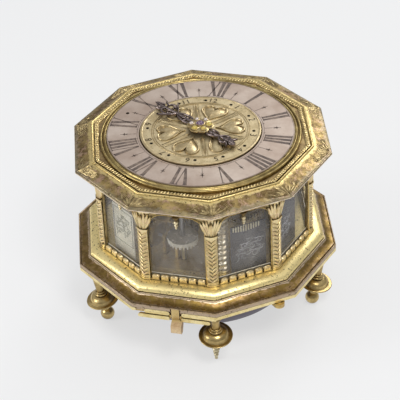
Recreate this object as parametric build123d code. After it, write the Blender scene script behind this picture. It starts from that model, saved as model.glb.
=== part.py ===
from build123d import *
import os
from math import atan2, cos, degrees, hypot, pi, radians, sin, tan

# A horizontal table clock: a ten-sided gilt case with the dial on top, on a foot frame.
# The origin is the centre of the footprint on the table, +Z is up,
# -Y is the face under VI, and the hinge is under XII at +Y.

# Plan of the case
SIDES = 10
STEP_ANGLE = 360 / SIDES
COS_HALF = cos(pi / SIDES)
TAN_HALF = tan(pi / SIDES)
SIN_HALF = sin(pi / SIDES)
FIRST_CORNER = -72.0
FIT_GAP = 0.3
PIVOT_GAP = 0.05

# Heights above the table
FRAME_BOTTOM = 44.0
FRAME_THICK = 2.8
BASE_BOTTOM = FRAME_BOTTOM + FRAME_THICK + FIT_GAP
SKIRT_HEIGHT = 5.6
SLOPE_HEIGHT = 3.6
TORUS_HEIGHT = 5.5
WALL_HEIGHT = 59.7
MOVEMENT_ROOM = 8.2
SLOPE_TOP = BASE_BOTTOM + SKIRT_HEIGHT + SLOPE_HEIGHT
BASE_TOP = SLOPE_TOP + TORUS_HEIGHT
WALL_TOP = BASE_TOP + WALL_HEIGHT

# Corner radii: the base steps out from the wall twice and carries it on a ledge
WALL_RADIUS = 73.0
STEP_OUT = 9.3
SKIRT_OUT = 7.7
BASE_LEDGE = 11.0
STEP_RADIUS = WALL_RADIUS + STEP_OUT
SKIRT_RADIUS = STEP_RADIUS + SKIRT_OUT
BASE_BORE = WALL_RADIUS - BASE_LEDGE

# Wall
PANEL_THICK = 2.0
GLASS_THICK = 1.4
WINDOW_WIDTH = 36.6
WINDOW_SILL = 1.8
WINDOW_CROWN = 52.5
ARCH_RADIUS = 10.5

# Corner pilasters
PILASTER_WING = 3.75
PILASTER_THICK = 1.0
PLINTH_HEIGHT = 3.6
COLLAR_LEVEL = 39.0
COLLAR_HEIGHT = 1.4
CAPITAL_HEIGHT = 14.0
CAPITAL_WING = 7.0
CAPITAL_THICK = 2.3

# Cresting along the foot of each window
CREST_THICK = 0.9
CREST_RAIL = 1.7
CREST_HEIGHT = 4.3
MERLONS = 6
MERLON_WIDTH = 5.0

# Pendant under each arch
PENDANT_LENGTH = 9.8
PENDANT_RADIUS = 1.1

# Cornice: how far it stands out from the wall and in over it, and its rises above the wall
CORNICE_OUT = 13.7
CORNICE_RIM_OUT = 0.4
CORNICE_LEDGE = 5.0
CORNICE_RADIUS = WALL_RADIUS + CORNICE_OUT
CORNICE_RIM_RADIUS = WALL_RADIUS + CORNICE_RIM_OUT
CORNICE_BORE = WALL_RADIUS - CORNICE_LEDGE
LIP_LEVEL = 3.7
LIP_HEIGHT = 1.8
RIM_RISE = 3.7
DIAL_SEAT = 6.5

# Dial: each ring fits inside the one before it
SEAT_RADIUS = CORNICE_RIM_RADIUS - 0.7
DIAL_RADIUS = SEAT_RADIUS - 0.2
DIAL_THICK = 2.0
BEAD_BAND_WIDTH = 2.7
BEAD_BAND_HEIGHT = 1.4
BEAD_BAND_OUTER = DIAL_RADIUS - 0.1
BEAD_BAND_INNER = BEAD_BAND_OUTER - BEAD_BAND_WIDTH
BEZEL_GAP = 0.59
BEZEL_WIDTH = 4.6
BEZEL_HEIGHT = 3.4
BEZEL_OUTER = BEAD_BAND_INNER * COS_HALF - BEZEL_GAP
BEZEL_INNER = BEZEL_OUTER - BEZEL_WIDTH
GROUND_RISE = 1.4
CHAPTER_WIDTH = 20.9
CHAPTER_THICK = 1.2
CHAPTER_INNER = BEZEL_INNER - CHAPTER_WIDTH
ALARM_GAP = 0.7
ALARM_THICK = 2.4
ALARM_RADIUS = CHAPTER_INNER - ALARM_GAP
PIN_HOLES = 12
PIN_HOLE_INSET = 4.8
PIN_HOLE_CIRCLE = ALARM_RADIUS - PIN_HOLE_INSET
PIN_HOLE_RADIUS = 0.6
PIN_HOLE_DEPTH = 1.6
PIN_HOLE_FIRST = -52.0

# Hand and hub
HOUR_ARBOR_RADIUS = 2.0
HAND_OVER = 3.3
HAND_LENGTH = CHAPTER_INNER + HAND_OVER
TAIL_LENGTH = 28.5
HAND_THICK = 1.0
HAND_CLEAR = 1.8
HAND_ANGLE = 148.0
HUB_RADIUS = 8.6
HUB_HEIGHT = 1.6
HUB_STEP_RADIUS = 5.2
JEWEL_RADIUS = 1.3
JEWELS = 8

# Foot frame
FRAME_INSET = 4.0
FRAME_WIDTH = 19.4
FRAME_RADIUS = SKIRT_RADIUS - FRAME_INSET
FRAME_BORE = FRAME_RADIUS - FRAME_WIDTH
FEET = 5
FOOT_INSET = 5.0
FOOT_CIRCLE = FRAME_RADIUS - FOOT_INSET
FOOT_LEAN = 10.0
FLANGE_RADIUS = 4.6
STEM_RADIUS = 2.7
DISC_RISE = 5.4
DISC_RADIUS = 11.2
DISC_LEVEL = 17.5
FRONT_DISC_LEVEL = 24.0
BALL_RADIUS = 4.75
BALL_FLAT = 0.2
FINIAL_RINGS = 3
FINIAL_TIP_RADIUS = 0.9
EAR_ANGLE = -43.0
EAR_OUT = 4.0
EAR_REACH = FRAME_RADIUS + EAR_OUT
EAR_RADIUS = 3.6
EAR_HOLE = 1.3

# Hinge under XII
HINGE_PIN_RADIUS = 1.0
KNUCKLE_RADIUS = 2.0
KNUCKLE_LENGTH = 9.0
HINGE_SPREAD = 24.0

# Spring catch under VI
CATCH_X = 0.8
CATCH_WIDTH = 5.2
CATCH_SLOT = 0.6
CATCH_RISE = 5.0
CATCH_DEPTH = 1.8
LUG_WIDTH = 6.9
LUG_BOTTOM = 34.5
LUG_REACH = 4.6
CATCH_PIN_RADIUS = 0.7
TONGUE_ROOT = 1.5
CATCH_EAR_THICK = 1.6

# Bell
BELL_CLEAR = 3.1
BELL_DEPTH = 26.0
BELL_RIM_RADIUS = FRAME_BORE - BELL_CLEAR
BELL_RIM_LEVEL = FRAME_BOTTOM
BELL_CROWN_LEVEL = BELL_RIM_LEVEL - BELL_DEPTH
BELL_WALL = 2.0
BELL_STUD_RADIUS = 4.0
BELL_NUT_THICK = 3.0

# Movement plates and pillars
PLATE_LEDGE = 2.0
PLATE_THICK = 2.0
PLATE_RADIUS = BASE_BORE + PLATE_LEDGE
LOW_PLATE_DROP = 2.3
MOVEMENT_HEIGHT = WALL_HEIGHT - MOVEMENT_ROOM
PILLARS = 5
PILLAR_INSET = 7.0
PILLAR_CIRCLE = PLATE_RADIUS - PILLAR_INSET
PILLAR_FIRST = -64.0
PILLAR_RADIUS = 3.4
PILLAR_RINGS = 6
PILLAR_FLATS = 8
PILLAR_FOOT = 3.0
PILLAR_TENON = 1.6

# Trains: wheels are given by teeth and module, places by centre distances
ARBOR_RADIUS = 1.6
PIVOT_RADIUS = 1.0
HOUR_PIVOT_RADIUS = 1.6
WHEEL_THICK = 2.0
PINION_THICK = 4.0
DRIVE_MODULE = 0.8
GREAT_TEETH = 60
SECOND_PINION_TEETH = 12
DIAL_TEETH = 48
DIAL_PINION_TEETH = 12
UPPER_MODULE = 0.75
SECOND_TEETH = 70
CONTRATE_PINION_TEETH = 10
FUSEE_ANGLE = 160.0
CONTRATE_CENTRE = (-3.0, -45.0)
CONTRATE_RADIUS = 10.0
CONTRATE_TEETH = 24
CONTRATE_RISE = 16.5
CONTRATE_HEIGHT = 3.0
CONTRATE_TOOTH = 2.0
CONTRATE_WALL = 1.3
CROWN_PINION_TEETH = 6
CROWN_RADIUS = 8.0
CROWN_TEETH = 15
CROWN_DIRECTION = 160.0
CROWN_DISTANCE = 20.0
CROWN_PINION_THICK = 3.0
CROWN_WALL = 1.0
CROWN_BACK = 1.0
CROWN_DEPTH = 4.0
POTENCE_INNER = 4.0
POTENCE_OUTER = 13.6
POTENCE_THICK = 2.0
VERGE_DISTANCE = 27.5
VERGE_RADIUS = 0.8
PALLET_REACH = 3.4
PALLET_ANGLE = 42.0
BALANCE_RADIUS = 14.0
BALANCE_THICK = 1.4
COCK_THICK = 1.6
BARREL_CENTRE = (30.0, 24.0)
BARREL_RADIUS = 16.0
BARREL_HEIGHT = 26.0
BARREL_WALL = 1.5
SPRING_THICK = 0.5
FUSEE_LARGE = 14.0
FUSEE_SMALL = 7.0
FUSEE_HEIGHT = 24.0
FUSEE_TURNS = 7
FUSEE_GROOVE = 0.9
WINDING_SQUARE = 2.2
SQUARE_LENGTH = 5.0
CHAIN_THICK = 0.8
CHAIN_HEIGHT = 1.6

STRIKE_MODULE = 0.72
STRIKE_TEETH = 60
STRIKE_PINION_TEETH = 10
STRIKE_CENTRE = (26.0, -22.0)
STRIKE_BARREL_RADIUS = 15.0
STRIKE_BARREL_HEIGHT = 25.0
STRIKE_DROP = 19.0
PIN_WHEEL_ANGLE = 100.0
WARNING_MODULE = 0.6
PIN_WHEEL_TEETH = 42
WARNING_PINION_TEETH = 7
WARNING_ANGLE = 0.0
WARNING_TEETH = 36
FLY_PINION_TEETH = 6
LIFTING_PINS = 8
LIFTING_CIRCLE = 10.9
LIFTING_PIN_RADIUS = 0.5
LIFTING_PIN_RISE = 1.6
FLY_ANGLE = -10.0
FLY_RADIUS = 5.6
COUNT_MODULE = 0.7
COUNT_PINION_TEETH = 12
COUNT_TEETH = 48
COUNT_ANGLE = 200.0
COUNT_STUD_RADIUS = 1.5
HAMMER_PLACE = (44.0, 14.0)
HAMMER_ANGLE = 70.0
HAMMER_HEAD_GAP = 1.6
HAMMER_HEAD_RADIUS = 3.0
HAMMER_HEAD_LENGTH = 8.0
ARM_HEIGHT = 2.4
TAIL_WIDTH = 1.6
TAIL_HEIGHT = 1.2
HAMMER_SPRING_GAP = 1.3
HAMMER_SPRING_ARM = 6.0
HAMMER_SPRING_RUN = 11.0
HAMMER_SPRING_THICK = 0.6

# Levels that follow from the sizes above
PANEL_APOTHEM = WALL_RADIUS * COS_HALF
GLASS_APOTHEM = PANEL_APOTHEM - PANEL_THICK
SIDE_LENGTH = 2 * WALL_RADIUS * SIN_HALF
DIAL_BOTTOM = WALL_TOP + DIAL_SEAT
DIAL_TOP = DIAL_BOTTOM + DIAL_THICK
GROUND_TOP = DIAL_TOP + GROUND_RISE
ALARM_BOTTOM = GROUND_TOP + FIT_GAP
ALARM_TOP = ALARM_BOTTOM + ALARM_THICK
HAND_BOTTOM = ALARM_TOP + HAND_CLEAR
HAND_TOP = HAND_BOTTOM + HAND_THICK
LOW_PLATE_BOTTOM = BASE_TOP - LOW_PLATE_DROP
LOW_PLATE_TOP = LOW_PLATE_BOTTOM + PLATE_THICK
TOP_PLATE_BOTTOM = LOW_PLATE_TOP + MOVEMENT_HEIGHT
TOP_PLATE_TOP = TOP_PLATE_BOTTOM + PLATE_THICK
HINGE_Y = SKIRT_RADIUS * COS_HALF + FIT_GAP + KNUCKLE_RADIUS
HINGE_Z = BASE_BOTTOM


def polar(radius, angle):
    return radius * cos(radians(angle)), radius * sin(radians(angle))


def along(start, distance, angle):
    dx, dy = polar(distance, angle)
    return start[0] + dx, start[1] + dy


def third_corner(a, b, from_a, from_b):
    """The point from_a away from a and from_b away from b, to the right of a to b."""
    dx, dy = b[0] - a[0], b[1] - a[1]
    span = hypot(dx, dy)
    reach = (from_a ** 2 - from_b ** 2 + span ** 2) / (2 * span)
    offset = (from_a ** 2 - reach ** 2) ** 0.5
    return (
        a[0] + (reach * dx - offset * dy) / span,
        a[1] + (reach * dy + offset * dx) / span,
    )


def mesh_distance(module, teeth, leaves):
    return module * (teeth + leaves) / 2


# Arbor places
HUB = (0.0, 0.0)
FUSEE_PLACE = polar(mesh_distance(DRIVE_MODULE, DIAL_TEETH, DIAL_PINION_TEETH), FUSEE_ANGLE)
SECOND_PLACE = third_corner(
    FUSEE_PLACE,
    CONTRATE_CENTRE,
    mesh_distance(DRIVE_MODULE, GREAT_TEETH, SECOND_PINION_TEETH),
    mesh_distance(UPPER_MODULE, SECOND_TEETH, CONTRATE_PINION_TEETH),
)
PIN_WHEEL_PLACE = along(
    STRIKE_CENTRE, mesh_distance(STRIKE_MODULE, STRIKE_TEETH, STRIKE_PINION_TEETH), PIN_WHEEL_ANGLE
)
WARNING_PLACE = along(
    PIN_WHEEL_PLACE, mesh_distance(WARNING_MODULE, PIN_WHEEL_TEETH, WARNING_PINION_TEETH), WARNING_ANGLE
)
FLY_PLACE = along(
    WARNING_PLACE, mesh_distance(WARNING_MODULE, WARNING_TEETH, FLY_PINION_TEETH), FLY_ANGLE
)
COUNT_PLACE = along(
    STRIKE_CENTRE, mesh_distance(COUNT_MODULE, COUNT_TEETH, COUNT_PINION_TEETH), COUNT_ANGLE
)

# Wheel levels: rises from the bottom plate and drops from the top plate
GREAT_RISE = 2.5
BARREL_RISE = 2.0
PIN_WHEEL_RISE = 1.6
SECOND_DROP = 13.0
WARNING_DROP = 5.0
DIAL_WHEEL_RISE = 2.5
COUNT_DROP = 4.0
GREAT_LEVEL = LOW_PLATE_TOP + GREAT_RISE
FUSEE_LEVEL = GREAT_LEVEL + WHEEL_THICK
BARREL_LEVEL = FUSEE_LEVEL + BARREL_RISE
PIN_WHEEL_LEVEL = LOW_PLATE_TOP + PIN_WHEEL_RISE
CONTRATE_LEVEL = LOW_PLATE_TOP + CONTRATE_RISE
SECOND_LEVEL = TOP_PLATE_BOTTOM - SECOND_DROP
WARNING_LEVEL = TOP_PLATE_BOTTOM - WARNING_DROP
STRIKE_LEVEL = TOP_PLATE_BOTTOM - STRIKE_DROP
DIAL_WHEEL_LEVEL = TOP_PLATE_TOP + DIAL_WHEEL_RISE
COUNT_LEVEL = LOW_PLATE_BOTTOM - COUNT_DROP


# Forms used by many pieces
def outline(points):
    return make_face(Polyline(*points, close=True))


def revolved(profile, place=(0, 0)):
    """A turned piece from (radius, height) points."""
    face = Plane.XZ * outline(profile)
    return Pos(place[0], place[1], 0) * revolve(face, Axis.Z)


def flat_sided(profile, place=(0, 0), flats=8):
    """A piece of equal flats around its axis, from (radius, height) points listed along the axis."""
    return loft(
        [Pos(place[0], place[1], height) * RegularPolygon(radius, flats) for radius, height in profile],
        ruled=True,
    )


def disc(radius, thick, place=(0, 0), level=0.0):
    return Pos(place[0], place[1], level) * Cylinder(
        radius, thick, align=(Align.CENTER, Align.CENTER, Align.MIN)
    )


def ring(outer, inner, thick, place=(0, 0), level=0.0):
    return disc(outer, thick, place, level) - disc(inner, thick, place, level)


def moulding(profile):
    """A mitred ten-sided moulding from (corner radius, height) points."""
    points = [(radius * COS_HALF, height) for radius, height in profile]
    section = Plane(origin=(0, 0, 0), x_dir=(0, -1, 0), z_dir=(-1, 0, 0)) * outline(points)
    apothem = points[0][0]
    corners = [
        Vector(*polar(apothem / COS_HALF, FIRST_CORNER - STEP_ANGLE * k)) for k in range(SIDES)
    ]
    start = (corners[0] + corners[-1]) / 2
    path = Polyline(start, *corners, start)
    return sweep(section, path=path, transition=Transition.RIGHT)


def on_faces(piece):
    """Ten copies of a piece drawn on the face under VI."""
    return [Rot(0, 0, STEP_ANGLE * k) * piece for k in range(SIDES)]


def on_corners(piece):
    """Ten copies of a piece drawn on the corner on +X."""
    return [Rot(0, 0, STEP_ANGLE * k) * piece for k in range(SIDES)]


def tooth_outline(teeth, module, phase, addendum=0.7, dedendum=1.15, share=0.36):
    """Trapezoid teeth with running backlash; one tooth stands at the angle phase."""
    pitch_radius = module * teeth / 2
    tip = pitch_radius + addendum * module
    root = pitch_radius - dedendum * module
    pitch = 360 / teeth
    half_tip = pitch * share * 0.28
    half_root = pitch * share * 0.78
    points = []
    for k in range(teeth):
        middle = phase + pitch * k
        points += [
            polar(root, middle - half_root),
            polar(tip, middle - half_tip),
            polar(tip, middle + half_tip),
            polar(root, middle + half_root),
        ]
    return points


def wheel(teeth, module, place, level, phase, thick=WHEEL_THICK, bore=ARBOR_RADIUS, arms=4):
    """A crossed-out wheel on its arbor."""
    body = extrude(outline(tooth_outline(teeth, module, phase)), thick)
    rim = module * teeth / 2 - 2.6
    hub = bore + 2.4
    arm = 1.5
    if arms and rim - hub > 3:
        window = ring(rim, hub, thick)
        for k in range(arms):
            bar = Box(2 * rim, 2 * arm, thick, align=(Align.MIN, Align.CENTER, Align.MIN))
            window -= Rot(0, 0, phase + 360 / arms * k) * bar
        body -= window
    body -= disc(bore, thick)
    return Pos(place[0], place[1], level) * body


def pinion(leaves, module, place, level, phase, thick=PINION_THICK):
    points = tooth_outline(leaves, module, phase, share=0.34)
    return Pos(place[0], place[1], level) * extrude(outline(points), thick)


def arbor(place, bottom, top, radius=ARBOR_RADIUS, low_pivot=None, high_pivot=None):
    """A turned arbor with its pivots running in the two plates."""
    low = LOW_PLATE_BOTTOM if low_pivot is None else low_pivot
    high = TOP_PLATE_TOP if high_pivot is None else high_pivot
    profile = [
        (0, low), (PIVOT_RADIUS, low), (PIVOT_RADIUS, bottom), (radius, bottom),
        (radius, top), (PIVOT_RADIUS, top), (PIVOT_RADIUS, high), (0, high),
    ]
    return revolved(profile, place)


def facing(a, b):
    return degrees(atan2(b[1] - a[1], b[0] - a[0]))


def meshed_phase(a, b, teeth_a, teeth_b, phase_a):
    """The phase of wheel b whose gap receives the tooth of wheel a on the line of centres."""
    line = facing(a, b)
    turned = (line - phase_a) / (360 / teeth_a)
    return line + 180 + (turned + 0.5) * (360 / teeth_b)


parts = {}

# Foot frame: a flat ten-sided ring with the hinge eyes, the catch ears and a pierced ear
HINGE_STATIONS = (-HINGE_SPREAD, HINGE_SPREAD)
KNUCKLE_SHIFT = KNUCKLE_LENGTH / 2 + FIT_GAP / 2


def knuckle(x):
    eye = Cylinder(KNUCKLE_RADIUS, KNUCKLE_LENGTH) - Cylinder(HINGE_PIN_RADIUS, KNUCKLE_LENGTH)
    return Pos(x, HINGE_Y, HINGE_Z) * Rot(0, 90, 0) * eye


def hinge_pin_bore(radius):
    length = 2 * (HINGE_SPREAD + KNUCKLE_LENGTH + KNUCKLE_SHIFT)
    return Pos(0, HINGE_Y, HINGE_Z) * Rot(0, 90, 0) * Cylinder(radius, length)


frame_ring = extrude(
    Rot(0, 0, FIRST_CORNER) * RegularPolygon(FRAME_RADIUS, SIDES), FRAME_THICK
)
foot_frame = Pos(0, 0, FRAME_BOTTOM) * frame_ring - disc(FRAME_BORE, FRAME_THICK, level=FRAME_BOTTOM)
frame_edge = FRAME_RADIUS * COS_HALF
for station in HINGE_STATIONS:
    tab = Pos(station - KNUCKLE_SHIFT, frame_edge - 1.0, FRAME_BOTTOM + FRAME_THICK) * Box(
        KNUCKLE_LENGTH, HINGE_Y - frame_edge + 1.0, KNUCKLE_RADIUS - FIT_GAP,
        align=(Align.CENTER, Align.MIN, Align.MAX),
    )
    foot_frame += tab
    foot_frame += knuckle(station - KNUCKLE_SHIFT)
foot_frame -= hinge_pin_bore(HINGE_PIN_RADIUS)

CATCH_PIVOT_Z = FRAME_BOTTOM + FRAME_THICK / 2
CATCH_FACE = SKIRT_RADIUS * COS_HALF - FIT_GAP
CATCH_PIVOT_Y = -CATCH_FACE + CATCH_DEPTH / 2
catch_half = CATCH_WIDTH / 2 + FIT_GAP
for side in (-1, 1):
    ear_x = CATCH_X + side * (catch_half + CATCH_EAR_THICK / 2)
    foot_frame += Pos(ear_x, -frame_edge + 1.0, FRAME_BOTTOM) * Box(
        CATCH_EAR_THICK, CATCH_FACE - frame_edge + 1.0, FRAME_THICK,
        align=(Align.CENTER, Align.MAX, Align.MIN),
    )
catch_pin_length = CATCH_WIDTH + 2 * (FIT_GAP + CATCH_EAR_THICK)
catch_pin = Pos(CATCH_X, CATCH_PIVOT_Y, CATCH_PIVOT_Z) * Rot(0, 90, 0) * Cylinder(
    CATCH_PIN_RADIUS, catch_pin_length
)
foot_frame -= catch_pin

ear_centre = polar(EAR_REACH - EAR_RADIUS, EAR_ANGLE)
ear_root = FRAME_BORE + 6
foot_frame += disc(EAR_RADIUS, FRAME_THICK, ear_centre, FRAME_BOTTOM)
foot_frame += Pos(0, 0, FRAME_BOTTOM) * Rot(0, 0, EAR_ANGLE) * Pos(ear_root, 0, 0) * Box(
    EAR_REACH - EAR_RADIUS - ear_root, 2 * EAR_RADIUS, FRAME_THICK,
    align=(Align.MIN, Align.CENTER, Align.MIN),
)
foot_frame -= disc(EAR_HOLE, FRAME_THICK, ear_centre, FRAME_BOTTOM)
parts["foot_frame"] = foot_frame
parts["catch_pin"] = catch_pin
parts["hinge_pin"] = hinge_pin_bore(HINGE_PIN_RADIUS - PIVOT_GAP)

# Feet: turned stems, saucers and balls, each foot leaning in a little towards its tip
LEAN_COS = cos(radians(FOOT_LEAN))


def foot_place(k):
    """Stands a foot drawn along -Z from its top under the frame."""
    return (
        Rot(0, 0, FIRST_CORNER + 360 / FEET * k)
        * Pos(FOOT_CIRCLE, 0, FRAME_BOTTOM)
        * Rot(0, FOOT_LEAN, 0)
    )


def foot_axis(height):
    """The distance down the foot's leaning axis to a height above the table."""
    return -(FRAME_BOTTOM - height) / LEAN_COS


def stem_profile(disc_level):
    low = foot_axis(disc_level) + DISC_RISE
    return [
        (0, 1.0), (FLANGE_RADIUS, 1.0), (FLANGE_RADIUS, -1.8), (3.6, -2.6), (STEM_RADIUS, -3.6),
        (STEM_RADIUS, low + 2.6), (4.4, low + 1.6), (4.4, low), (0, low),
    ]


def disc_profile(disc_level):
    rim = foot_axis(disc_level)
    return [
        (0, rim + DISC_RISE), (4.9, rim + DISC_RISE), (7.2, rim + 4.6), (8.9, rim + 3.0), (9.6, rim + 1.5),
        (DISC_RADIUS, rim + 1.0), (DISC_RADIUS, rim + 0.2), (9.4, rim), (0, rim),
    ]


def ball(disc_level):
    rim = foot_axis(disc_level)
    centre = foot_axis(BALL_RADIUS - BALL_FLAT)
    neck = revolved([(0, rim), (3.2, rim), (2.1, rim - 1.4), (2.1, centre), (0, centre)])
    return neck + Pos(0, 0, centre) * Sphere(BALL_RADIUS)


def finial(disc_level):
    rim = foot_axis(disc_level)
    tip = foot_axis(0) - FINIAL_TIP_RADIUS * tan(radians(FOOT_LEAN))
    profile = [(0, rim), (3.0, rim)]
    ring_length = (rim - tip - 3.4) / FINIAL_RINGS
    for k in range(FINIAL_RINGS):
        top = rim - 1.2 - ring_length * k
        swell = 2.6 - 0.45 * k
        profile += [
            (swell - 1.1, top), (swell, top - ring_length / 3), (swell, top - ring_length * 2 / 3)
        ]
    profile += [(FINIAL_TIP_RADIUS + 0.1, tip + 1.6), (FINIAL_TIP_RADIUS, tip), (0, tip)]
    return revolved(profile)


disc_levels = [FRONT_DISC_LEVEL] + [DISC_LEVEL] * (FEET - 1)
above_foot = disc(2 * SKIRT_RADIUS, FRAME_THICK, level=FRAME_BOTTOM)
under_table = disc(2 * SKIRT_RADIUS, BASE_BOTTOM, level=-BASE_BOTTOM)
parts["foot_stems"] = [
    foot_place(k) * revolved(stem_profile(disc_levels[k])) - above_foot for k in range(FEET)
]
parts["foot_discs"] = [
    foot_place(k) * revolved(disc_profile(disc_levels[k])) for k in range(FEET)
]
parts["foot_balls"] = [foot_place(k) * ball(disc_levels[k]) - under_table for k in range(1, FEET)]
parts["foot_finial"] = foot_place(0) * finial(disc_levels[0]) - under_table

# Spring catch: a tongue in the skirt's notch and a lug to press under it
tongue = Pos(CATCH_X, -CATCH_FACE, BASE_BOTTOM + CATCH_RISE - FIT_GAP) * Box(
    CATCH_WIDTH, CATCH_DEPTH, BASE_BOTTOM + CATCH_RISE - FIT_GAP - FRAME_BOTTOM + TONGUE_ROOT,
    align=(Align.CENTER, Align.MIN, Align.MAX),
)
lug_top = FRAME_BOTTOM - 0.5
lug_shape = Plane.YZ * outline([
    (-CATCH_FACE + CATCH_DEPTH, lug_top), (-CATCH_FACE, lug_top),
    (-CATCH_FACE - LUG_REACH, lug_top - 2.0),
    (-CATCH_FACE - LUG_REACH, LUG_BOTTOM + 1.5), (-CATCH_FACE - LUG_REACH + 1.5, LUG_BOTTOM),
    (-CATCH_FACE - 0.5, LUG_BOTTOM), (-CATCH_FACE + CATCH_DEPTH, lug_top - 4.0),
])
lug = Pos(CATCH_X + 1.2, 0, 0) * extrude(lug_shape, LUG_WIDTH / 2, both=True)
catch_bore = Pos(CATCH_X, CATCH_PIVOT_Y, CATCH_PIVOT_Z) * Rot(0, 90, 0) * Cylinder(
    CATCH_PIN_RADIUS + PIVOT_GAP, LUG_WIDTH * 2
)
parts["spring_catch"] = tongue + lug - catch_bore

# Base moulding: skirt, slope, step and torus, with the hinge leaves and the catch notch
torus_outer = STEP_RADIUS - 0.5
torus_inner = WALL_RADIUS + 1.6
torus = []
for k in range(7):
    turn = radians(15 * k)
    torus.append((
        torus_inner + (torus_outer - torus_inner) * cos(turn),
        SLOPE_TOP + 0.8 + (BASE_TOP - SLOPE_TOP - 0.8) * sin(turn),
    ))
base_profile = [
    (BASE_BORE - 2, BASE_BOTTOM), (SKIRT_RADIUS, BASE_BOTTOM),
    (SKIRT_RADIUS, BASE_BOTTOM + SKIRT_HEIGHT - 0.4), (SKIRT_RADIUS - 0.5, BASE_BOTTOM + SKIRT_HEIGHT),
    (SKIRT_RADIUS - 2.6, BASE_BOTTOM + SKIRT_HEIGHT + 0.5),
    ((SKIRT_RADIUS + STEP_RADIUS) / 2, SLOPE_TOP - 1.5), (STEP_RADIUS, SLOPE_TOP),
    (STEP_RADIUS - 0.5, SLOPE_TOP),
] + torus + [(BASE_BORE - 2, BASE_TOP)]
base = moulding(base_profile)
base -= disc(BASE_BORE, BASE_TOP - BASE_BOTTOM, level=BASE_BOTTOM)
base -= disc(PLATE_RADIUS + FIT_GAP, LOW_PLATE_DROP, level=LOW_PLATE_BOTTOM)
notch_depth = CATCH_DEPTH + 2 * FIT_GAP + 1.2
base -= Pos(CATCH_X, -SKIRT_RADIUS * COS_HALF, BASE_BOTTOM) * Box(
    CATCH_WIDTH + 2 * CATCH_SLOT, notch_depth, CATCH_RISE, align=(Align.CENTER, Align.MIN, Align.MIN)
)
for station in HINGE_STATIONS:
    base += Pos(station + KNUCKLE_SHIFT, HINGE_Y, HINGE_Z) * Box(
        KNUCKLE_LENGTH, KNUCKLE_RADIUS + 2 * FIT_GAP + 1.0, KNUCKLE_RADIUS,
        align=(Align.CENTER, Align.MAX, Align.MIN),
    )
    base += knuckle(station + KNUCKLE_SHIFT)
base -= hinge_pin_bore(HINGE_PIN_RADIUS)
parts["base_moulding"] = base

# Ten window panels with basket arches, and their glass
panel_face = outline([
    (-SIDE_LENGTH / 2, -PANEL_APOTHEM), (SIDE_LENGTH / 2, -PANEL_APOTHEM),
    (GLASS_APOTHEM * TAN_HALF, -GLASS_APOTHEM), (-GLASS_APOTHEM * TAN_HALF, -GLASS_APOTHEM),
])
panel = Pos(0, 0, BASE_TOP) * extrude(panel_face, WALL_HEIGHT)
arch_height = WINDOW_CROWN - WINDOW_SILL
arch = Rectangle(WINDOW_WIDTH, arch_height, align=(Align.CENTER, Align.MIN))
arch = fillet(arch.vertices().sort_by(Axis.Y)[-2:], ARCH_RADIUS)
arch_plane = Plane(
    origin=(0, -PANEL_APOTHEM - 1, BASE_TOP + WINDOW_SILL), x_dir=(1, 0, 0), z_dir=(0, -1, 0)
)
panel -= extrude(arch_plane * arch, -(PANEL_THICK + 2))
parts["window_panels"] = on_faces(panel)

glass_half = (GLASS_APOTHEM - GLASS_THICK) * TAN_HALF - FIT_GAP
glass = Pos(0, -GLASS_APOTHEM, BASE_TOP) * Box(
    2 * glass_half, GLASS_THICK, WALL_HEIGHT, align=(Align.CENTER, Align.MIN, Align.MIN)
)
parts["window_glass"] = on_faces(glass)


# Corner pilasters: strips bent over the corners, with plinth, shaft, collar and capital
def bent_strip(wing, thick):
    corner = WALL_RADIUS
    points = []
    for side in (1, -1):
        along_x, along_y = -SIN_HALF, side * COS_HALF
        out_x, out_y = COS_HALF, side * SIN_HALF
        wall = (corner + wing * along_x, wing * along_y)
        outer = (wall[0] + thick * out_x, wall[1] + thick * out_y)
        points += [wall, outer] if side == 1 else [outer, wall]
    points.insert(2, (corner + thick / COS_HALF, 0))
    points.append((corner, 0))
    return outline(points)


collar_bottom = BASE_TOP + COLLAR_LEVEL
capital_bottom = collar_bottom + COLLAR_HEIGHT
capital_top = capital_bottom + CAPITAL_HEIGHT
pilaster = Pos(0, 0, BASE_TOP) * extrude(
    bent_strip(PILASTER_WING + 0.6, PILASTER_THICK + 0.7), PLINTH_HEIGHT
)
pilaster += Pos(0, 0, BASE_TOP) * extrude(bent_strip(PILASTER_WING, PILASTER_THICK), WALL_HEIGHT)
pilaster += Pos(0, 0, collar_bottom) * extrude(
    bent_strip(PILASTER_WING + 0.3, PILASTER_THICK + 0.6), COLLAR_HEIGHT
)
pilaster += loft([
    Pos(0, 0, capital_bottom) * bent_strip(PILASTER_WING, PILASTER_THICK),
    Pos(0, 0, capital_top) * bent_strip(CAPITAL_WING, CAPITAL_THICK),
], ruled=True)
parts["corner_pilasters"] = on_corners(pilaster)

# Cresting strip at the foot of each window
crest_half = SIDE_LENGTH / 2 - PILASTER_WING - 0.6
merlon_pitch = 2 * crest_half / MERLONS
crest_points = [(-crest_half, 0), (crest_half, 0)]
for k in reversed(range(MERLONS)):
    middle = -crest_half + merlon_pitch * (k + 0.5)
    crest_points += [
        (middle + MERLON_WIDTH / 2, CREST_RAIL), (middle + MERLON_WIDTH / 2, CREST_HEIGHT - 0.8),
        (middle + MERLON_WIDTH / 2 - 0.8, CREST_HEIGHT), (middle - MERLON_WIDTH / 2 + 0.8, CREST_HEIGHT),
        (middle - MERLON_WIDTH / 2, CREST_HEIGHT - 0.8), (middle - MERLON_WIDTH / 2, CREST_RAIL),
    ]
crest_points.insert(2, (crest_half, CREST_RAIL))
crest_points.append((-crest_half, CREST_RAIL))
crest_plane = Plane(origin=(0, -PANEL_APOTHEM, BASE_TOP), x_dir=(1, 0, 0), z_dir=(0, -1, 0))
parts["cresting_strips"] = on_faces(extrude(crest_plane * outline(crest_points), CREST_THICK))

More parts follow.
